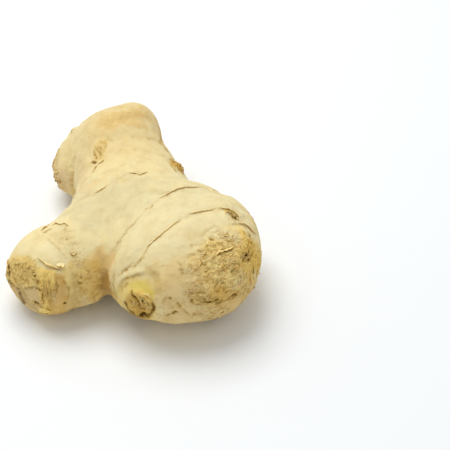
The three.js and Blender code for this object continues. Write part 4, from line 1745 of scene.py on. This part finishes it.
@dataclass
class Flakes(Layer):
    """Small curled scales of cork, scattered over the bark as one mesh of thin closed plates."""

    tries: int = 9000
    most: int = 420
    columns: int = 6
    seed: int = 21
    plate: Plate = Plate(4, 0.12, 0.12)
    grain: Point = (0.93, 0.28, 0.24)
    lengths: tuple[float, float] = (0.7, 2.3)
    widths: tuple[float, float] = (0.3, 0.85)
    lifts: tuple[float, float] = (3.0, 11.0)
    curls: tuple[float, float] = (5.0, 28.0)
    name: str = "bark_flakes"

    def build(self, finish: Material) -> Piece:
        """Makes the flakes' object.

        Each flake is held along one side, which runs roughly with the grain of the bark, and its width
        follows the root of 1 - 4 t^2 along it, with t from -1/2 to 1/2.

        Args:
            finish: The material of the flakes.

        Returns:
            The object, in metres.
        """
        draw = np.random.default_rng(self.seed)
        middles = self._middles(draw)
        count, columns, rows = len(middles), self.columns, self.plate.rows
        outward = unit(self.relief.ground.form.slope(middles))
        turn = draw.normal(0.0, 0.45, (count, 1))
        along = unit(np.cross(np.cross(outward, self.grain), outward))
        across = np.cross(along, outward) * draw.choice([-1.0, 1.0], (count, 1))
        cos, sin = np.cos(turn), np.sin(turn)
        along, across = along * cos + across * sin, across * cos - along * sin
        t = np.linspace(-0.5, 0.5, columns)[None, :, None]
        run = draw.uniform(*self.lengths, (count, 1, 1)) * t
        bow = draw.uniform(-0.5, 0.5, (count, 1, 1)) * t**2
        line = (middles[:, None] + run * along[:, None] + bow * across[:, None]).reshape(-1, 3)
        sites = self.pulled(line)
        shape = np.sqrt(1.02 - 4.0 * t[..., 0] ** 2) * (1.0 + 0.3 * draw.normal(size=(count, columns)))
        length = draw.uniform(*self.widths, (count, 1)) * np.clip(shape, 0.1, 1.4)
        angles = [draw.uniform(*span, (count, 1)) for span in (self.lifts, self.curls)]
        lift, curl = (np.repeat(angle, columns, axis=1).reshape(-1) for angle in angles)
        right = np.repeat(across, columns, axis=0)
        right = unit(right - np.einsum("ij,ij->i", right, sites.outward)[:, None] * sites.outward)
        upward = np.cross(np.repeat(along, columns, axis=0), sites.outward)
        turned = np.einsum("ij,ij->i", upward, right)[::columns] < 0
        sides = self.plate.sides(self.held(sites), right, sites.outward, length.reshape(-1), lift, curl)
        points = sides.reshape(2, count, columns * rows, 3).transpose(1, 0, 2, 3).reshape(-1, 3)
        faces = self.plate.faces(columns)
        stack = np.where(turned[:, None, None], faces[None, :, ::-1], faces[None])
        stack = stack + (np.arange(count) * 2 * columns * rows)[:, None, None]
        pale = 0.75 * draw.uniform(0.1, 1.0, count) ** 1.5
        fields = {
            "out": np.tile(np.linspace(0.0, 1.0, rows), 2 * count * columns),
            "pale": np.repeat(pale, 2 * columns * rows),
        }
        tint = np.repeat(self.tints(sites), rows, axis=0).reshape(count, 1, columns * rows, 3)
        tint = np.repeat(tint, 2, axis=1).reshape(-1, 3)
        return self.piece(points, stack.reshape(-1, 4), fields, tint, finish)

    def _middles(self, draw: np.random.Generator) -> Array:
        """Where the flakes lie: points drawn at random, pulled onto the body, and kept where it is corky.

        Args:
            draw: What the points are drawn from.

        Returns:
            One point a flake, on the body.
        """
        ground = self.relief.ground
        low, high = ground.form.extent(0.0)
        points = ground.form.pulled(draw.uniform(low, high, (self.tries, 3)), 8, 8.0)
        points = points[(np.abs(ground.form.level(points)) < 0.1) & (points[:, 2] > 3.0)]
        bark = self.relief.bark(ground.sites(points))
        return points[bark**2 > draw.uniform(0.15, 1.6, len(points))][: self.most]


@dataclass(frozen=True)
class Tuft:
    """Dry fibres that lie round a scar: its middle, radius, how many, their thickness and how pale."""

    at: Point
    radius: float
    count: int
    seed: int
    thick: float = 0.13
    pale: float = 0.3

    def paths(self, ground: Ground, steps: int) -> Array:
        """The fibres' middle lines: arcs that run round the scar and a little out of it.

        Args:
            ground: What they lie on.
            steps: How many points a fibre has.

        Returns:
            The points of each fibre, near the body.
        """
        draw = np.random.default_rng(self.seed)
        middle, across, up = ground.plane(self.at, (0.0, 0.0, -1.0))
        t = np.linspace(0.0, 1.0, steps)[None]
        size = (self.count, 1)
        way = draw.uniform(0.2, 0.9, size) * draw.choice([-1.0, 1.0], size)
        turn = draw.uniform(0.0, 2 * math.pi, size) + way * t
        r = self.radius * (draw.uniform(0.35, 1.0, size) + draw.uniform(-0.1, 0.35, size) * t)
        return middle + r[..., None] * (np.cos(turn)[..., None] * across + np.sin(turn)[..., None] * up)


@dataclass(frozen=True)
class Strand:
    """Dry fibres that run side by side through a few places of the frame, spread by some pixels."""

    places: Places
    count: int
    spread: float
    seed: int
    thick: float
    pale: float

    def paths(self, ground: Ground, steps: int) -> Array:
        """The fibres' middle lines, each moved aside, bent and cut short at random.

        Args:
            ground: What they lie on.
            steps: How many points a fibre has.

        Returns:
            The points of each fibre, on the body.
        """
        draw = np.random.default_rng(self.seed)
        course = Course(self.places)
        first = draw.uniform(0.0, 0.45, (self.count, 1))
        last = draw.uniform(0.6, 1.0, (self.count, 1))
        share = np.linspace(0.0, 1.0, steps)
        between = course.at(course.length * (first + (last - first) * share[None]))
        aside = draw.normal(0.0, self.spread, (2, self.count, 1, 2))
        share = share[None, :, None]
        between = between + aside[0] * (1.0 - share) + aside[1] * share
        return ground.seen(between.reshape(-1, 2)).reshape(self.count, steps, 3)


BUNCHES = (
    Tuft((32.6, -21.4, 34), 2.6, 7, 13, 0.13, 0.5),
    Tuft((13.7, 10.9, 27), 2.6, 8, 14, 0.16),
    Tuft((37, -6, 17), 4, 12, 15),
    Tuft((8.7, 30.5, 14), 3.2, 10, 16),
    Tuft((-11.5, 46, 20), 3.6, 12, 17),
    Strand((128, 293, 131, 299, 134, 305, 140, 308), 3, 0.7, 31, 0.15, 0.6),
    Strand((138.5, 294, 140, 300, 142, 306, 146, 309), 4, 0.8, 45, 0.15, 0.7),
    Strand((129, 300, 132, 305, 138, 308, 146, 309), 3, 0.7, 32, 0.15, 0.6),
    Strand((149, 300, 150, 305, 147, 309, 141, 311), 3, 0.7, 33, 0.15, 0.7),
    Strand((140, 297, 144, 298, 147, 302, 146, 307), 3, 0.7, 34, 0.15, 0.8),
    Strand((123, 299, 126, 306, 131, 312), 2, 0.5, 35, 0.15, 0.6),
    Strand((133, 314, 141, 316.5, 150, 316), 2, 0.4, 46, 0.15, 0.6),
    Strand((142, 292, 148, 294, 153, 299), 4, 1, 36, 0.16, 0.9),
    Strand((224, 209, 230, 212, 237, 218), 5, 1, 37, 0.16, 0.5),
    Strand((45, 270, 44, 282, 46, 294, 45, 309), 6, 2.4, 38, 0.15, 0.4),
    Strand((51, 272, 51, 286, 50, 300, 51, 312), 6, 2.4, 39, 0.15, 0.4),
    Strand((40, 261, 48, 266, 57, 269), 4, 0.9, 40, 0.15, 0.6),
    Strand((170, 155, 175, 162, 180, 171), 7, 0.9, 41, 0.2, 0.2),
    Strand((10, 266, 12, 276, 18, 287, 28, 300), 7, 1, 42, 0.16, 0.5),
    Strand((240, 250, 246, 256, 250, 262), 5, 3, 43, 0.14, 0.5),
    Strand((192, 294, 200, 298, 204, 304), 6, 2.5, 44, 0.14, 0.4),
)


@dataclass
class Fibres(Layer):
    """All the dry fibres, as one mesh of thin closed tubes. The first spoke of each is square to guide."""

    steps: int = 9
    sides: int = 5
    seed: int = 51
    lifts: tuple[float, float] = (0.05, 0.4)
    guide: Point = (0.21, 0.13, 0.97)
    name: str = "dry_fibres"

    def build(self, finish: Material) -> Piece:
        """Makes the fibres' object.

        Each is a tube whose radius follows a half wave along it, on a path that arches off the skin.

        Args:
            finish: The material of the fibres.

        Returns:
            The object, in metres.
        """
        near = np.concatenate([bunch.paths(self.relief.ground, self.steps) for bunch in BUNCHES])
        counts = [bunch.count for bunch in BUNCHES]
        thick = np.repeat([bunch.thick for bunch in BUNCHES], counts)
        pale = np.repeat([bunch.pale for bunch in BUNCHES], counts)
        sites = self.pulled(near.reshape(-1, 3), 3, 1.5)
        count, steps, sides = len(near), self.steps, self.sides
        arch = np.sin(math.pi * np.linspace(0.0, 1.0, steps))[None]
        lift = np.random.default_rng(self.seed).uniform(*self.lifts, (count, 1)) * arch
        paths = self.held(sites, lift.reshape(-1)).reshape(count, steps, 3)
        along = unit(np.gradient(paths, axis=1))
        side = unit(np.cross(along, self.guide))
        turns = 2 * math.pi * np.arange(sides) / sides
        radius = thick[:, None] * (0.3 + 0.7 * np.sin(np.linspace(0.1, 0.95, steps) * math.pi))
        spokes = np.cos(turns)[:, None] * side[:, :, None]
        spokes = spokes + np.sin(turns)[:, None] * np.cross(side, along)[:, :, None]
        tubes = (paths[:, :, None] + radius[..., None, None] * spokes).reshape(-1, 3)
        points = np.vstack([tubes, paths[:, 0], paths[:, -1]])
        fields = {
            "out": np.full(len(points), 0.8),
            "pale": np.concatenate([np.repeat(pale, steps * sides), pale, pale]),
        }
        tint = self.tints(sites)
        ends = tint.reshape(count, steps, 3)
        tint = np.vstack([np.repeat(tint, sides, axis=0), ends[:, 0], ends[:, -1]])
        return self.piece(points, self._faces(count), fields, tint, finish)

    def _faces(self, count: int) -> Array:
        """The tubes' faces: their walls, and a fan at each end round a tip.

        Args:
            count: How many tubes there are. The tips' vertices follow all the walls' ones.

        Returns:
            One three-sided face a row, pointing out.
        """
        at = np.arange(count * self.steps * self.sides).reshape(count, self.steps, self.sides)
        after = np.roll(at, -1, axis=2)
        walls = np.stack([at[:, :-1], after[:, :-1], after[:, 1:], at[:, 1:]], axis=-1).reshape(-1, 4)
        tips = (at.size + np.arange(2 * count)).reshape(2, count, 1).repeat(self.sides, axis=2)
        start = np.stack([tips[0], at[:, 0], after[:, 0]], axis=-1).reshape(-1, 3)
        end = np.stack([tips[1], after[:, -1], at[:, -1]], axis=-1).reshape(-1, 3)
        return np.vstack([walls[:, [2, 1, 0]], walls[:, [3, 2, 0]], start, end])


# --- Blender meshes ---


def mesh_object(name: str, points: Array, faces: Array, finish: Material) -> Piece:
    """A smooth-shaded mesh object at the origin.

    Args:
        name: The object's name.
        points: One vertex a row, in metres.
        faces: One face a row, all with as many corners.
        finish: The material.

    Returns:
        The linked object.
    """
    mesh = bpy.data.meshes.new(name)
    corners = faces.shape[1]
    mesh.vertices.add(len(points))
    mesh.vertices.foreach_set("co", points.astype(np.float32).ravel())
    mesh.loops.add(faces.size)
    mesh.loops.foreach_set("vertex_index", faces.astype(np.int32).ravel())
    mesh.polygons.add(len(faces))
    mesh.polygons.foreach_set("loop_start", np.arange(0, faces.size, corners, dtype=np.int32))
    mesh.polygons.foreach_set("use_smooth", np.ones(len(faces), bool))
    mesh.update(calc_edges=True)
    mesh.validate()
    mesh.materials.append(finish)
    piece = bpy.data.objects.new(name, mesh)
    bpy.context.scene.collection.objects.link(piece)
    return piece


def float_field(piece: Piece, name: str, values: Array) -> None:
    """Stores one number a vertex under a name."""
    piece.data.attributes.new(name, "FLOAT", "POINT").data.foreach_set("value", values.astype(np.float32))


def colour_field(piece: Piece, name: str, colours: Array) -> None:
    """Stores one linear colour a vertex under a name.

    Args:
        piece: The mesh object.
        name: The name that the material reads it by.
        colours: Red, green and blue of each vertex.
    """
    full = np.ones((len(colours), 4), np.float32)
    full[:, :3] = colours
    piece.data.attributes.new(name, "FLOAT_COLOR", "POINT").data.foreach_set("color", full.ravel())


# --- Finishes ---


class Blend(Enum):
    """How a colour is laid over another: in its place, or by multiplying it."""

    COVER = "MIX"
    STAIN = "MULTIPLY"


class Wire:
    """A shader socket that takes part in Python sums."""

    def __init__(self, bench: "Bench", socket: bpy.types.NodeSocket) -> None:
        """Keeps the socket and the bench that it is wired on."""
        self.bench = bench
        self.socket = socket

    def maths(self, operation: str, *others: Any, swap: bool = False) -> "Wire":
        """A Math node of this socket and others.

        Args:
            operation: The Math node's operation.
            others: Sockets or numbers.
            swap: Whether this socket comes second.

        Returns:
            The node's result.
        """
        values = [*others, self] if swap else [self, *others]
        node = self.bench.node("ShaderNodeMath", {"operation": operation}, dict(enumerate(values)))
        return Wire(self.bench, node.outputs[0])

    def __add__(self, other: Any) -> "Wire":
        """self + other."""
        return self.maths("ADD", other)

    __radd__ = __add__

    def __sub__(self, other: Any) -> "Wire":
        """self - other."""
        return self.maths("SUBTRACT", other)

    def __rsub__(self, other: Any) -> "Wire":
        """other - self."""
        return self.maths("SUBTRACT", other, swap=True)

    def __mul__(self, other: Any) -> "Wire":
        """self * other."""
        return self.maths("MULTIPLY", other)

    __rmul__ = __mul__

    def __abs__(self) -> "Wire":
        """The size of self."""
        return self.maths("ABSOLUTE")

    def ramp(self, low: float, high: float) -> "Wire":
        """A smooth step of self.

        Args:
            low: Where it is 0.
            high: Where it is 1; it may be the smaller of the two.

        Returns:
            3 t^2 - 2 t^3, with t from 0 to 1 between them.
        """
        node = self.bench.node(
            "ShaderNodeMapRange",
            {"interpolation_type": "SMOOTHSTEP"},
            {"Value": self, "From Min": low, "From Max": high},
        )
        return Wire(self.bench, node.outputs[0])


class Bench:
    """A material being wired."""

    def __init__(self, name: str) -> None:
        """Starts an empty material.

        Args:
            name: The material's name.
        """
        self.material = bpy.data.materials.new(name)
        self.material.use_nodes = True
        self.tree = self.material.node_tree
        self.tree.nodes.clear()

    def node(self, kind: str, settings: dict[str, Any], inputs: dict[Any, Any]) -> bpy.types.Node:
        """Adds a node.

        Args:
            kind: The node's type.
            settings: Its properties, set before its sockets.
            inputs: A value or a Wire for each socket, by name or number.

        Returns:
            The node.
        """
        node = self.tree.nodes.new(kind)
        for key, value in settings.items():
            setattr(node, key, value)
        for key, value in inputs.items():
            if isinstance(value, Wire):
                self.tree.links.new(value.socket, node.inputs[key])
            else:
                node.inputs[key].default_value = value
        return node

    def field(self, name: str, output: str = "Fac") -> Wire:
        """A field that is stored on the mesh."""
        settings = {"attribute_type": "GEOMETRY", "attribute_name": name}
        return Wire(self, self.node("ShaderNodeAttribute", settings, {}).outputs[output])

    def place(self) -> Wire:
        """The Object coordinates."""
        return Wire(self, self.node("ShaderNodeTexCoord", {}, {}).outputs["Object"])

    def noise(self, place: Wire, size: float, detail: float, rough: float) -> Wire:
        """Noise of a size in mm, from 0 to 1."""
        inputs = {"Vector": place, "Scale": 1 / (size * MM), "Detail": detail, "Roughness": rough}
        return Wire(self, self.node("ShaderNodeTexNoise", {}, inputs).outputs["Fac"])

    def warped(self, place: Wire, size: float, amount: float) -> Wire:
        """The place, thrown off by noise.

        Args:
            place: The coordinates.
            size: The noise's size, in mm.
            amount: How far it throws them off, in mm.

        Returns:
            The place + amount (noise - 0.5), on each axis.
        """
        inputs = {"Vector": place, "Scale": 1 / (size * MM), "Detail": 1.0}
        push = Wire(self, self.node("ShaderNodeTexNoise", {}, inputs).outputs["Color"])
        inputs = {0: push, 1: (0.5, 0.5, 0.5)}
        centred = self.node("ShaderNodeVectorMath", {"operation": "SUBTRACT"}, inputs)
        inputs = {0: Wire(self, centred.outputs[0]), 1: (amount * MM,) * 3, 2: place}
        thrown = self.node("ShaderNodeVectorMath", {"operation": "MULTIPLY_ADD"}, inputs)
        return Wire(self, thrown.outputs[0])

    def stretched(self, place: Wire, turn: Point, length: float) -> Wire:
        """The place, drawn out along a turned X axis, so that what it carries grows longer."""
        inputs = {"Vector": place, "Rotation": turn, "Scale": (length, 1.0, 1.0)}
        return Wire(self, self.node("ShaderNodeMapping", {"vector_type": "TEXTURE"}, inputs).outputs[0])

    def mix(self, share: Wire, first: Any, second: Any, blend: Blend = Blend.COVER) -> Wire:
        """Mixes two colours.

        Args:
            share: 0 for the first, 1 for the second.
            first: A colour, fixed or wired.
            second: Another one.
            blend: How the second goes over the first.

        Returns:
            The colour.
        """
        pair = [(*colour, 1.0) if isinstance(colour, tuple) else colour for colour in (first, second)]
        settings = {"data_type": "RGBA", "blend_type": blend.value}
        node = self.node("ShaderNodeMix", settings, {0: share, 6: pair[0], 7: pair[1]})
        return Wire(self, node.outputs[2])

    def bump(self, height: Wire, distance: float, strength: float) -> Wire:
        """A bumped normal: height from 0 to 1 stands for distance in mm."""
        inputs = {"Height": height, "Distance": distance * MM, "Strength": strength}
        return Wire(self, self.node("ShaderNodeBump", {}, inputs).outputs[0])

    def finish(self, inputs: dict[str, Any]) -> Material:
        """Ends in a Principled shader with these inputs.

        Args:
            inputs: A value or a Wire for each of its sockets.

        Returns:
            The material.
        """
        shader = self.node("ShaderNodeBsdfPrincipled", {}, inputs)
        self.node("ShaderNodeOutputMaterial", {}, {"Surface": Wire(self, shader.outputs[0])})
        return self.material


@dataclass(frozen=True)
class SkinFinish:
    """The thin matte skin: cream and tan, with dark cracks, corky flecks and a papery bump.

    Each length in mm is that of one grain of noise. Hollows of the relief get painted shade, and its crests
    a painted highlight.
    """

    crack: Colour = linear(98, 66, 12)
    # Brown halo of cracks and scars, and also painted shade in the hollows of the relief.
    crack_edge_and_shade: Colour = linear(190, 148, 58)
    chap: Colour = linear(158, 112, 34)
    fleck: Colour = linear(210, 180, 120)
    # Pale flecks and smears, and also a painted highlight on the crests of the relief.
    flake: Colour = linear(252, 230, 150)
    shade: Colour = linear(240, 232, 214)
    roughness: float = 0.6
    gloss: float = 0.12
    scatter: float = 0.1
    scatter_reach: Point = (0.002, 0.0012, 0.0006)
    bump_height: float = 0.55
    bump_strength: float = 0.8
    grain_turn: Point = (0.0, -0.25, 0.3)
    grain_stretch: float = 1.6
    fine_length: float = 0.55
    grain_length: float = 1.0
    crease_length: float = 1.9
    broad_length: float = 3.0
    smear_length: float = 3.6
    wide_length: float = 7.5

    def material(self) -> Material:
        """Wires the skin's material.

        Returns:
            The material.
        """
        bench = Bench("ginger_skin")
        place = bench.place()
        bark = bench.field("bark")
        bent = bench.warped(place, 1.9, 1.2)
        drawn = bench.stretched(bent, self.grain_turn, self.grain_stretch)
        fine = bench.noise(bent, self.fine_length, 4.0, 0.65)
        grain = bench.noise(drawn, self.grain_length, 3.0, 0.6)
        broad = bench.noise(drawn, self.broad_length, 4.0, 0.6)
        wide = bench.noise(place, self.wide_length, 4.0, 0.6)
        smear = bench.noise(bench.warped(place, 6.0, 5.0), self.smear_length, 4.0, 0.6)
        crease = abs(bench.noise(drawn, self.crease_length, 2.0, 0.5) - 0.5)
        creased = crease.ramp(0.045, 0.008)

        patchy = broad.ramp(0.36, 0.56)
        cracked = bark * 0.8 + wide.ramp(0.56, 0.7) * 0.14
        hollow = bench.field("hollow")
        ragged = (grain - 0.5) * 1.4 + (fine - 0.5) * 1.2
        line, dark = bench.field("line_mm") + ragged, bench.field("line_dark")
        ring, shown = abs(bench.field("ring_mm")) + ragged, bench.field("ring_show")
        layers = (
            (wide.ramp(0.46, 0.72) * 0.35, self.shade, Blend.STAIN),
            (broad.ramp(0.48, 0.72) * 0.25, self.shade, Blend.STAIN),
            (fine.ramp(0.5, 0.8) * (bark * 0.5 + 0.12), self.shade, Blend.STAIN),
            (smear.ramp(0.5, 0.64) * 0.36, self.shade, Blend.STAIN),
            (smear.ramp(0.46, 0.34) * 0.16, self.flake, Blend.COVER),
            (bark * grain.ramp(0.46, 0.36) * (1.0 - patchy * 0.4) * 0.45, self.flake, Blend.COVER),
            (bark * grain.ramp(0.52, 0.64) * patchy * 0.68, self.fleck, Blend.STAIN),
            (bark * fine.ramp(0.58, 0.7) * 0.45, self.fleck, Blend.STAIN),
            (creased * grain.ramp(0.42, 0.54) * cracked * 0.62, self.chap, Blend.COVER),
            (bench.field("spot") * grain.ramp(0.35, 0.6), self.crack_edge_and_shade, Blend.COVER),
            # Painted shade in the hollows of the relief, and a painted highlight on its crests.
            (hollow.ramp(0.03, 0.2) * 0.5, self.crack_edge_and_shade, Blend.COVER),
            (hollow.ramp(-0.02, -0.14) * (bark * 0.3 + 0.08), self.flake, Blend.COVER),
            (line.ramp(0.85, 0.0) * dark * 0.75, self.crack_edge_and_shade, Blend.COVER),
            (line.ramp(0.16, -0.08) * dark * dark, self.crack, Blend.COVER),
            (ring.ramp(0.75, 0.1) * shown * 0.5, self.crack_edge_and_shade, Blend.COVER),
            (ring.ramp(0.3, 0.05) * shown * 0.8, self.crack, Blend.COVER),
        )
        colour = bench.field("tint", "Color")
        for share, tone, blend in layers:
            colour = bench.mix(share, colour, tone, blend)
        rough = self.roughness + (grain - 0.5) * 0.25 + bark * 0.12
        bumps = (1.0 - grain) * (bark * 1.2 + 0.22) + (1.0 - fine) * (bark * 0.4 + 0.3)
        bumps = bumps + (1.0 - broad) * 0.7 - creased * bark * 0.35
        return bench.finish(
            {
                "Base Color": colour,
                "Roughness": rough,
                "Normal": bench.bump(bumps, self.bump_height, self.bump_strength),
                "Subsurface Weight": self.scatter,
                "Subsurface Radius": self.scatter_reach,
                "Subsurface Scale": 1.0,
                "Specular IOR Level": self.gloss,
            }
        )


@dataclass(frozen=True)
class PaperFinish:
    """Dry papery skin: the skin's own colour where it is held, and brown to pale at its torn edge."""

    torn: Colour = linear(198, 150, 62)
    pale: Colour = linear(252, 231, 156)
    roughness: float = 0.55

    def material(self) -> Material:
        """Wires the paper's material.

        Returns:
            The material.
        """
        bench = Bench("ginger_paper")
        grain = bench.noise(bench.place(), 0.9, 3.0, 0.6)
        out = (bench.field("out") + (grain - 0.5) * 1.2).ramp(0.15, 0.75)
        colour = bench.mix(bench.field("pale"), self.torn, self.pale)
        colour = bench.mix(out, bench.field("tint", "Color"), colour)
        return bench.finish(
            {
                "Base Color": colour,
                "Roughness": self.roughness,
                "Normal": bench.bump(grain, 0.12, 0.6),
                "Specular IOR Level": 0.2,
            }
        )


# --- The studio ---


@dataclass(frozen=True)
class Softbox:
    """A square light at a place, aimed at the object."""

    name: str
    at: Point
    size: float
    power: float
    colour: Colour = (1.0, 1.0, 1.0)

    def build(self, target: Point) -> None:
        """Adds the light.

        Args:
            target: The place that it is aimed at, in metres.
        """
        data = bpy.data.lights.new(self.name, "AREA")
        data.size = self.size
        data.energy = self.power
        data.color = self.colour
        lamp = bpy.data.objects.new(self.name, data)
        lamp.location = self.at
        lamp.rotation_euler = (Vector(target) - Vector(self.at)).to_track_quat("-Z", "Y").to_euler()
        bpy.context.scene.collection.objects.link(lamp)


@dataclass(frozen=True)
class Studio:
    """A white floor under soft light, and the camera."""

    view: Viewpoint
    floor_half: float = 3.0
    floor_colour: Colour = (0.915, 0.94, 0.96)
    sky: float = 0.55
    key: Softbox = Softbox("key", (-0.16, 0.24, 0.78), 0.6, 4.65, (1.0, 1.0, 0.98))
    aim: Point = (0.0, 0.0, 0.015)

    def build(self) -> None:
        """Sets up the floor, the light, the sky and the camera."""
        scene = bpy.context.scene
        scene.view_settings.view_transform = "Standard"
        self._floor()
        self.key.build(self.aim)
        world = bpy.data.worlds.new("sky")
        world.use_nodes = True
        sky = world.node_tree.nodes["Background"].inputs
        sky["Color"].default_value = (1.0, 1.0, 1.0, 1.0)
        sky["Strength"].default_value = self.sky
        scene.world = world
        scene.camera = self._camera()

    def _floor(self) -> None:
        """Lays the white floor at z = 0."""
        half = self.floor_half
        corners = np.array([(-half, -half, 0), (half, -half, 0), (half, half, 0), (-half, half, 0)], float)
        inputs = {"Base Color": (*self.floor_colour, 1.0), "Roughness": 0.5, "Specular IOR Level": 0.3}
        mesh_object("floor", corners, np.array([[0, 1, 2, 3]]), Bench("floor").finish(inputs))

    def _camera(self) -> Piece:
        """Makes the camera at the viewpoint.

        Returns:
            The camera.
        """
        data = bpy.data.cameras.new("camera")
        data.lens = self.view.lens
        data.sensor_width = self.view.sensor
        data.clip_start = 0.01
        camera = bpy.data.objects.new("camera", data)
        camera.location = self.view.place() * MM
        camera.rotation_euler = (math.radians(90 - self.view.elevation), 0.0, 0.0)
        bpy.context.scene.collection.objects.link(camera)
        return camera


# --- Putting it together ---


def settle(piece: Piece) -> None:
    """Lets a piece ride on the root, and reports it.

    Args:
        piece: The mesh object.
    """
    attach(piece, BODY)
    log.info("%s: %d vertices, %d faces", piece.name, len(piece.data.vertices), len(piece.data.polygons))


def main() -> None:
    """Builds the root and its studio."""
    logging.basicConfig(level=logging.INFO, format="%(name)s: %(message)s")
    ground = Ground()
    Studio(ground.view).build()
    relief = Relief(ground)
    skin = Skin(relief).build(SkinFinish().material())
    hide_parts(ROOT_NODE)
    settle(skin)
    paper = PaperFinish().material()
    for layer in (PaperEdges(relief), Flakes(relief), Fibres(relief)):
        settle(layer.build(paper))


if __name__ == "__main__":
    main()
